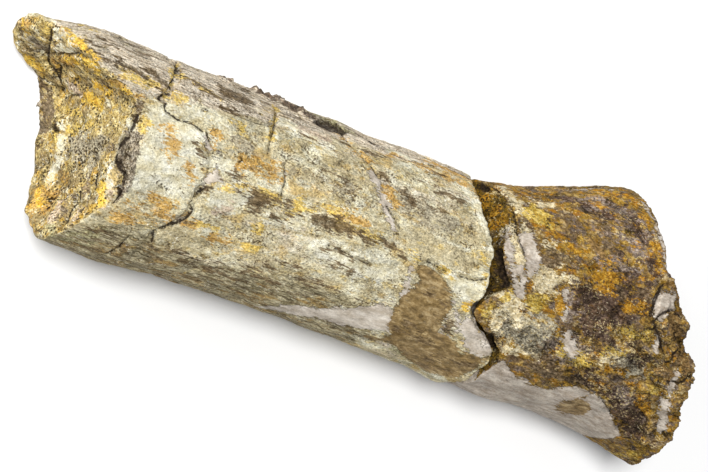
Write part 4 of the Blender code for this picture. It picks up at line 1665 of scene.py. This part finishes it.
@dataclass(frozen=True)
class Carving:
    """How deep each kind of relief is cut, in millimetres.

    calming is the share of it that filler smooths away, ledge_ends where the ledge fades out
    along the bone, and worn_belly between which heights the relief fades out towards the
    worn belly.
    """

    crack_depth: float = 2.0
    crack_width: float = 1.1
    calming: float = 0.85
    swell: float = 0.5
    shrink: float = 0.2
    flake: float = 0.5
    grain: float = 0.35
    ledge: float = 0.7
    ledge_ends: tuple[float, float] = (-60.0, 20.0)
    strand: float = 0.5
    strand_base: float = 0.4
    ridge: float = 1.0
    ridge_width: float = 2.0
    fan: float = 0.9
    rough: float = 0.6
    block: float = 1.5
    face: float = 1.4
    pore: float = 0.9
    crust: float = 3.3
    crust_base: float = 0.8
    pit: float = 2.8
    worn_belly: tuple[float, float] = (-46.5, -34.0)

    def relief(self, fields: Fields) -> np.ndarray:
        """Return how far each point moves out, without the cracks.

        Args:
            fields: the piece's fields.

        Returns:
            One height a point in millimetres, negative inwards.
        """
        places = fields.places
        broken = smooth_rise(fields.inside, low=1.0, high=3.0)
        grey = fields.share(Stain.FILLER, low=-0.5, high=1.0)
        brown = fields.share(Stain.BROWN, low=-0.5, high=1.0)
        calm = 1.0 - self.calming * np.maximum(grey, brown)
        height = self.skin(fields, broken, calm)
        gritty = 0.8 * cloud(places, size=7.0, seed=15.0) + 0.6 * cloud(places, size=3.2, seed=17.0)
        height += self.rough * fields.share(Stain.GRIT, low=-10.0, high=6.0) * calm * gritty
        spongy = cloud(places, size=7.0, seed=9.0) + 0.5 * cloud(places, size=3.4, seed=10.0)
        holes = smooth_rise(cloud(places, size=2.6, seed=11.0), low=0.05, high=0.5)
        height += broken * (self.face * spongy - self.pore * holes)
        beside = np.minimum(fields.stains[Stain.RIDGE], 0.0) / self.ridge_width
        height += self.ridge * np.exp(-beside ** 2) + self.fan * fields.fan
        blocks = rubble(places, size=9.0, seed=2.0) + 0.55 * rubble(places, size=4.2, seed=5.0)
        height += self.block * (fields.share(Stain.RUBBLE, low=-8.0, high=5.0) * calm) * blocks
        knobs = cloud(places, size=3.6, seed=19.0) + 0.5 * cloud(places, size=1.8, seed=20.0)
        crusty = fields.share(Stain.CRUST, low=-1.0, high=1.6)
        height += crusty * (self.crust_base + self.crust * knobs)
        return height - self.pit * fields.share(Stain.PIT_AND_SHADE, low=-0.6, high=1.4)

    def skin(self, fields: Fields, broken: np.ndarray, calm: np.ndarray) -> np.ndarray:
        """Return the swells, flakes, grain and strands of the bone's skin.

        Args:
            fields: the piece's fields.
            broken: how far each point is on a broken face, from 0 to 1.
            calm: how much of the relief is left where filler lies.

        Returns:
            One height a point in millimetres.
        """
        places = fields.places
        bony = calm * (1.0 - broken)
        upper = fields.share(Stain.UPPER, low=-0.4, high=1.2)
        height = self.swell * cloud(places, size=14.0, seed=3.0) * calm - self.shrink
        flakes = smooth_rise(cloud(places * SLIM, size=7.0, seed=5.0), low=0.02, high=0.12)
        height -= self.flake * flakes * bony
        height += self.grain * cloud(places, size=2.6, seed=7.0) * calm
        left = 1.0 - smooth_rise(fields.along, *self.ledge_ends)
        height -= self.ledge * upper * left * (1.0 - broken)
        strands = np.abs(cloud(places * FIBRE, size=2.2, seed=13.0))
        height += self.strand * (self.strand_base + upper) * strands * bony
        return height

    def crack_cuts_and_shade(self, fields: Fields) -> np.ndarray:
        """Return how deep the cracks and shadow lines are cut at each point, in millimetres."""
        away = np.minimum(fields.stains[Stain.CRACK_AND_SHADOW_LINE], 0.0) / self.crack_width
        return self.crack_depth * np.exp(-away * away) * fields.share(Stain.CRACK_AND_SHADOW_LINE, low=-4.0, high=0.5)


@dataclass
class BonePiece:
    """One piece of bone: its frame solid made fine, carved and stained."""

    node: str
    slot: str
    finish: BoneFinish
    marks: tuple
    carving: Carving
    voxel: float
    fan: Fan | None = None
    crease: float = 0.6
    sharp: float = math.radians(38.0)
    weld: float = 0.00001
    rounding: int = 2
    crack_reach: float = 2.6

    def coarse(self) -> bpy.types.Object:
        """Return a working copy of the solid as clean quads, its sharp rims creased.

        Returns:
            The copy, in the scene so that its modifiers can work.
        """
        shape = bmesh.new()
        shape.from_mesh(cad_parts[self.node].data)
        bmesh.ops.remove_doubles(shape, verts=shape.verts, dist=self.weld)
        bmesh.ops.join_triangles(shape, faces=shape.faces, angle_face_threshold=self.sharp,
                                 angle_shape_threshold=math.pi)
        creases = shape.edges.layers.float.new("crease_edge")
        for edge in shape.edges:
            if edge.is_manifold and edge.calc_face_angle() > self.sharp:
                edge[creases] = self.crease
        mesh = bpy.data.meshes.new(f"{self.node} coarse")
        shape.to_mesh(mesh)
        shape.free()
        return add_object(f"{self.node} coarse", mesh)

    def fine(self) -> bpy.types.Mesh:
        """Return the solid as an even, fine and smooth mesh.

        Returns:
            The mesh, in the frame's own place.
        """
        working = self.coarse()
        rounder = working.modifiers.new("round", "SUBSURF")
        rounder.levels = self.rounding
        rounder.render_levels = self.rounding
        evener = working.modifiers.new("even", "REMESH")
        evener.mode = "VOXEL"
        evener.voxel_size = self.voxel
        evaluated = working.evaluated_get(bpy.context.evaluated_depsgraph_get())
        mesh = bpy.data.meshes.new_from_object(evaluated)
        bpy.data.objects.remove(working)
        return mesh

    def refine(self, mesh: bpy.types.Mesh, fields: Fields) -> None:
        """Cut the faces along the cracks in four.

        Args:
            mesh: the piece's mesh.
            fields: its fields.
        """
        close = fields.stains[Stain.CRACK_AND_SHADOW_LINE] > -self.crack_reach
        shape = bmesh.new()
        shape.from_mesh(mesh)
        shape.verts.ensure_lookup_table()
        edges = [edge for edge in shape.edges if all(close[vertex.index] for vertex in edge.verts)]
        bmesh.ops.subdivide_edges(shape, edges=edges, cuts=1, use_grid_fill=True)
        shape.to_mesh(mesh)
        shape.free()

    def carve(self, mesh: bpy.types.Mesh, heights: np.ndarray) -> None:
        """Move each point along its normal, and keep it inside the frame's box.

        Args:
            mesh: the piece's mesh.
            heights: how far each point moves, in millimetres.
        """
        points, normals = points_and_normals(mesh)
        moved = points + normals * (heights * MM)[:, None]
        lowest, highest = (np.array(corner) for corner in CAD_BOX)
        mesh.vertices.foreach_set("co", np.clip(moved, lowest, highest).ravel())
        mesh.update()

    def store(self, mesh: bpy.types.Mesh, layers: dict[str, np.ndarray]) -> None:
        """Write fields on the mesh for the finish to read.

        Args:
            mesh: the piece's mesh.
            layers: the fields by name, one value a point.
        """
        for name, values in layers.items():
            layer = mesh.attributes.new(name, "FLOAT", "POINT")
            layer.data.foreach_set("value", values.astype(np.float32))

    def build(self, chart: Chart) -> bpy.types.Object:
        """Return the finished piece.

        Args:
            chart: where the photo's pixels lie.

        Returns:
            The piece's object, riding on the frame.
        """
        surveyor = Surveyor(chart, self.node, self.marks, self.fan)
        mesh = self.fine()
        self.refine(mesh, surveyor.survey(mesh))
        fields = surveyor.survey(mesh)
        relief = self.carving.relief(fields)
        worn = smooth_rise(fields.places[:, 2], *self.carving.worn_belly)
        self.carve(mesh, worn * (relief - self.carving.crack_cuts_and_shade(fields)))
        self.store(mesh, {stain.value: values for stain, values in fields.stains.items()})
        self.store(mesh, {"inside": fields.inside, "relief": relief})
        mesh.shade_smooth()
        mesh.materials.clear()
        mesh.materials.append(self.finish.make())
        piece = add_object(f"{self.node}_surface", mesh)
        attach(piece, "root")
        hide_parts(self.node)
        log.info("%s: %d points, %d faces", piece.name, len(mesh.vertices), len(mesh.polygons))
        return piece


@dataclass(frozen=True)
class Studio:
    """The pale floor and the soft lights."""

    floor_half: float = 4.0
    floor_colour: Colour = (0.86, 0.86, 0.86)
    floor_rough: float = 0.9
    sky: float = 0.25
    key: Vector = Vector((-0.84, 0.24, 1.80))
    key_power: float = 3.2
    key_spread: float = math.radians(16.0)
    fill: Vector = Vector((-1.5, 0.5, 0.6))
    fill_power: float = 14.0
    fill_size: float = 1.0
    aim: Vector = Vector((0.0, 0.0, 0.05))

    def floor(self) -> None:
        """Lay the floor."""
        shape = bmesh.new()
        bmesh.ops.create_grid(shape, x_segments=1, y_segments=1, size=self.floor_half)
        mesh = bpy.data.meshes.new("studio floor")
        shape.to_mesh(mesh)
        shape.free()
        palette = Palette("pale floor")
        palette.shader.inputs["Base Color"].default_value = (*self.floor_colour, 1.0)
        palette.shader.inputs["Roughness"].default_value = self.floor_rough
        mesh.materials.append(palette.material)
        add_object("studio floor", mesh)

    def hang(self, light: bpy.types.Light, place: Vector) -> None:
        """Hang a lamp that faces the bone.

        Args:
            light: the lamp's light.
            place: where the lamp hangs.
        """
        lamp = add_object(light.name, light)
        facing = (self.aim - place).to_track_quat("-Z", "Y")
        lamp.matrix_world = Matrix.Translation(place) @ facing.to_matrix().to_4x4()

    def build(self) -> None:
        """Set up the floor, the lamps and the sky."""
        self.floor()
        key = bpy.data.lights.new("key lamp", "SUN")
        key.energy = self.key_power
        key.angle = self.key_spread
        self.hang(key, self.key)
        fill = bpy.data.lights.new("fill lamp", "AREA")
        fill.size = self.fill_size
        fill.energy = self.fill_power
        self.hang(fill, self.fill)
        world = bpy.data.worlds.new("studio")
        world.use_nodes = True
        background = world.node_tree.nodes["Background"]
        background.inputs["Color"].default_value = (1.0, 1.0, 1.0, 1.0)
        background.inputs["Strength"].default_value = self.sky
        bpy.context.scene.world = world
        bpy.context.scene.view_settings.view_transform = "Standard"


@dataclass(frozen=True)
class FillerPlug:
    """The mender's grey-pink filler in the break, painted dark grey-brown for the shade deep in the gap.
    """

    node: str = "joint_filler"
    # Dark grey-brown: painted shade for the depth of the gap.
    tone: Tone = Tone(
        ((0.05, 0.04, 0.03), (0.15, 0.125, 0.10), (0.30, 0.26, 0.22)),
        size=4.0, stretch=1.0, seed=51.0,
    )
    rough: float = 0.85

    def dress(self) -> None:
        """Give the frame's own solid its finish."""
        palette = Palette("filler with painted gap shade")
        palette.feed(palette.shader.inputs["Base Color"], self.tone.colour(palette))
        palette.shader.inputs["Roughness"].default_value = self.rough
        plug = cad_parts[self.node]
        plug.data.materials.clear()
        plug.data.materials.append(palette.material)
        log.info("%s: dressed", self.node)


def main() -> None:
    """Build the bone, the studio and the camera."""
    logging.basicConfig(level=logging.INFO)
    VIEW.place()
    Studio().build()
    chart = Chart(["shaft_section", "flared_end_section"])
    shaft = BonePiece("shaft_section", "cream_bone", CREAM, SHAFT_MARKS, Carving(), voxel=0.00135)
    flare = BonePiece(
        "flared_end_section", "rust_bone", RUST, END_MARKS, Carving(rough=1.8), voxel=0.00112, fan=FAN
    )
    shaft.build(chart)
    flare.build(chart)
    FillerPlug().dress()


if __name__ == "__main__":
    main()
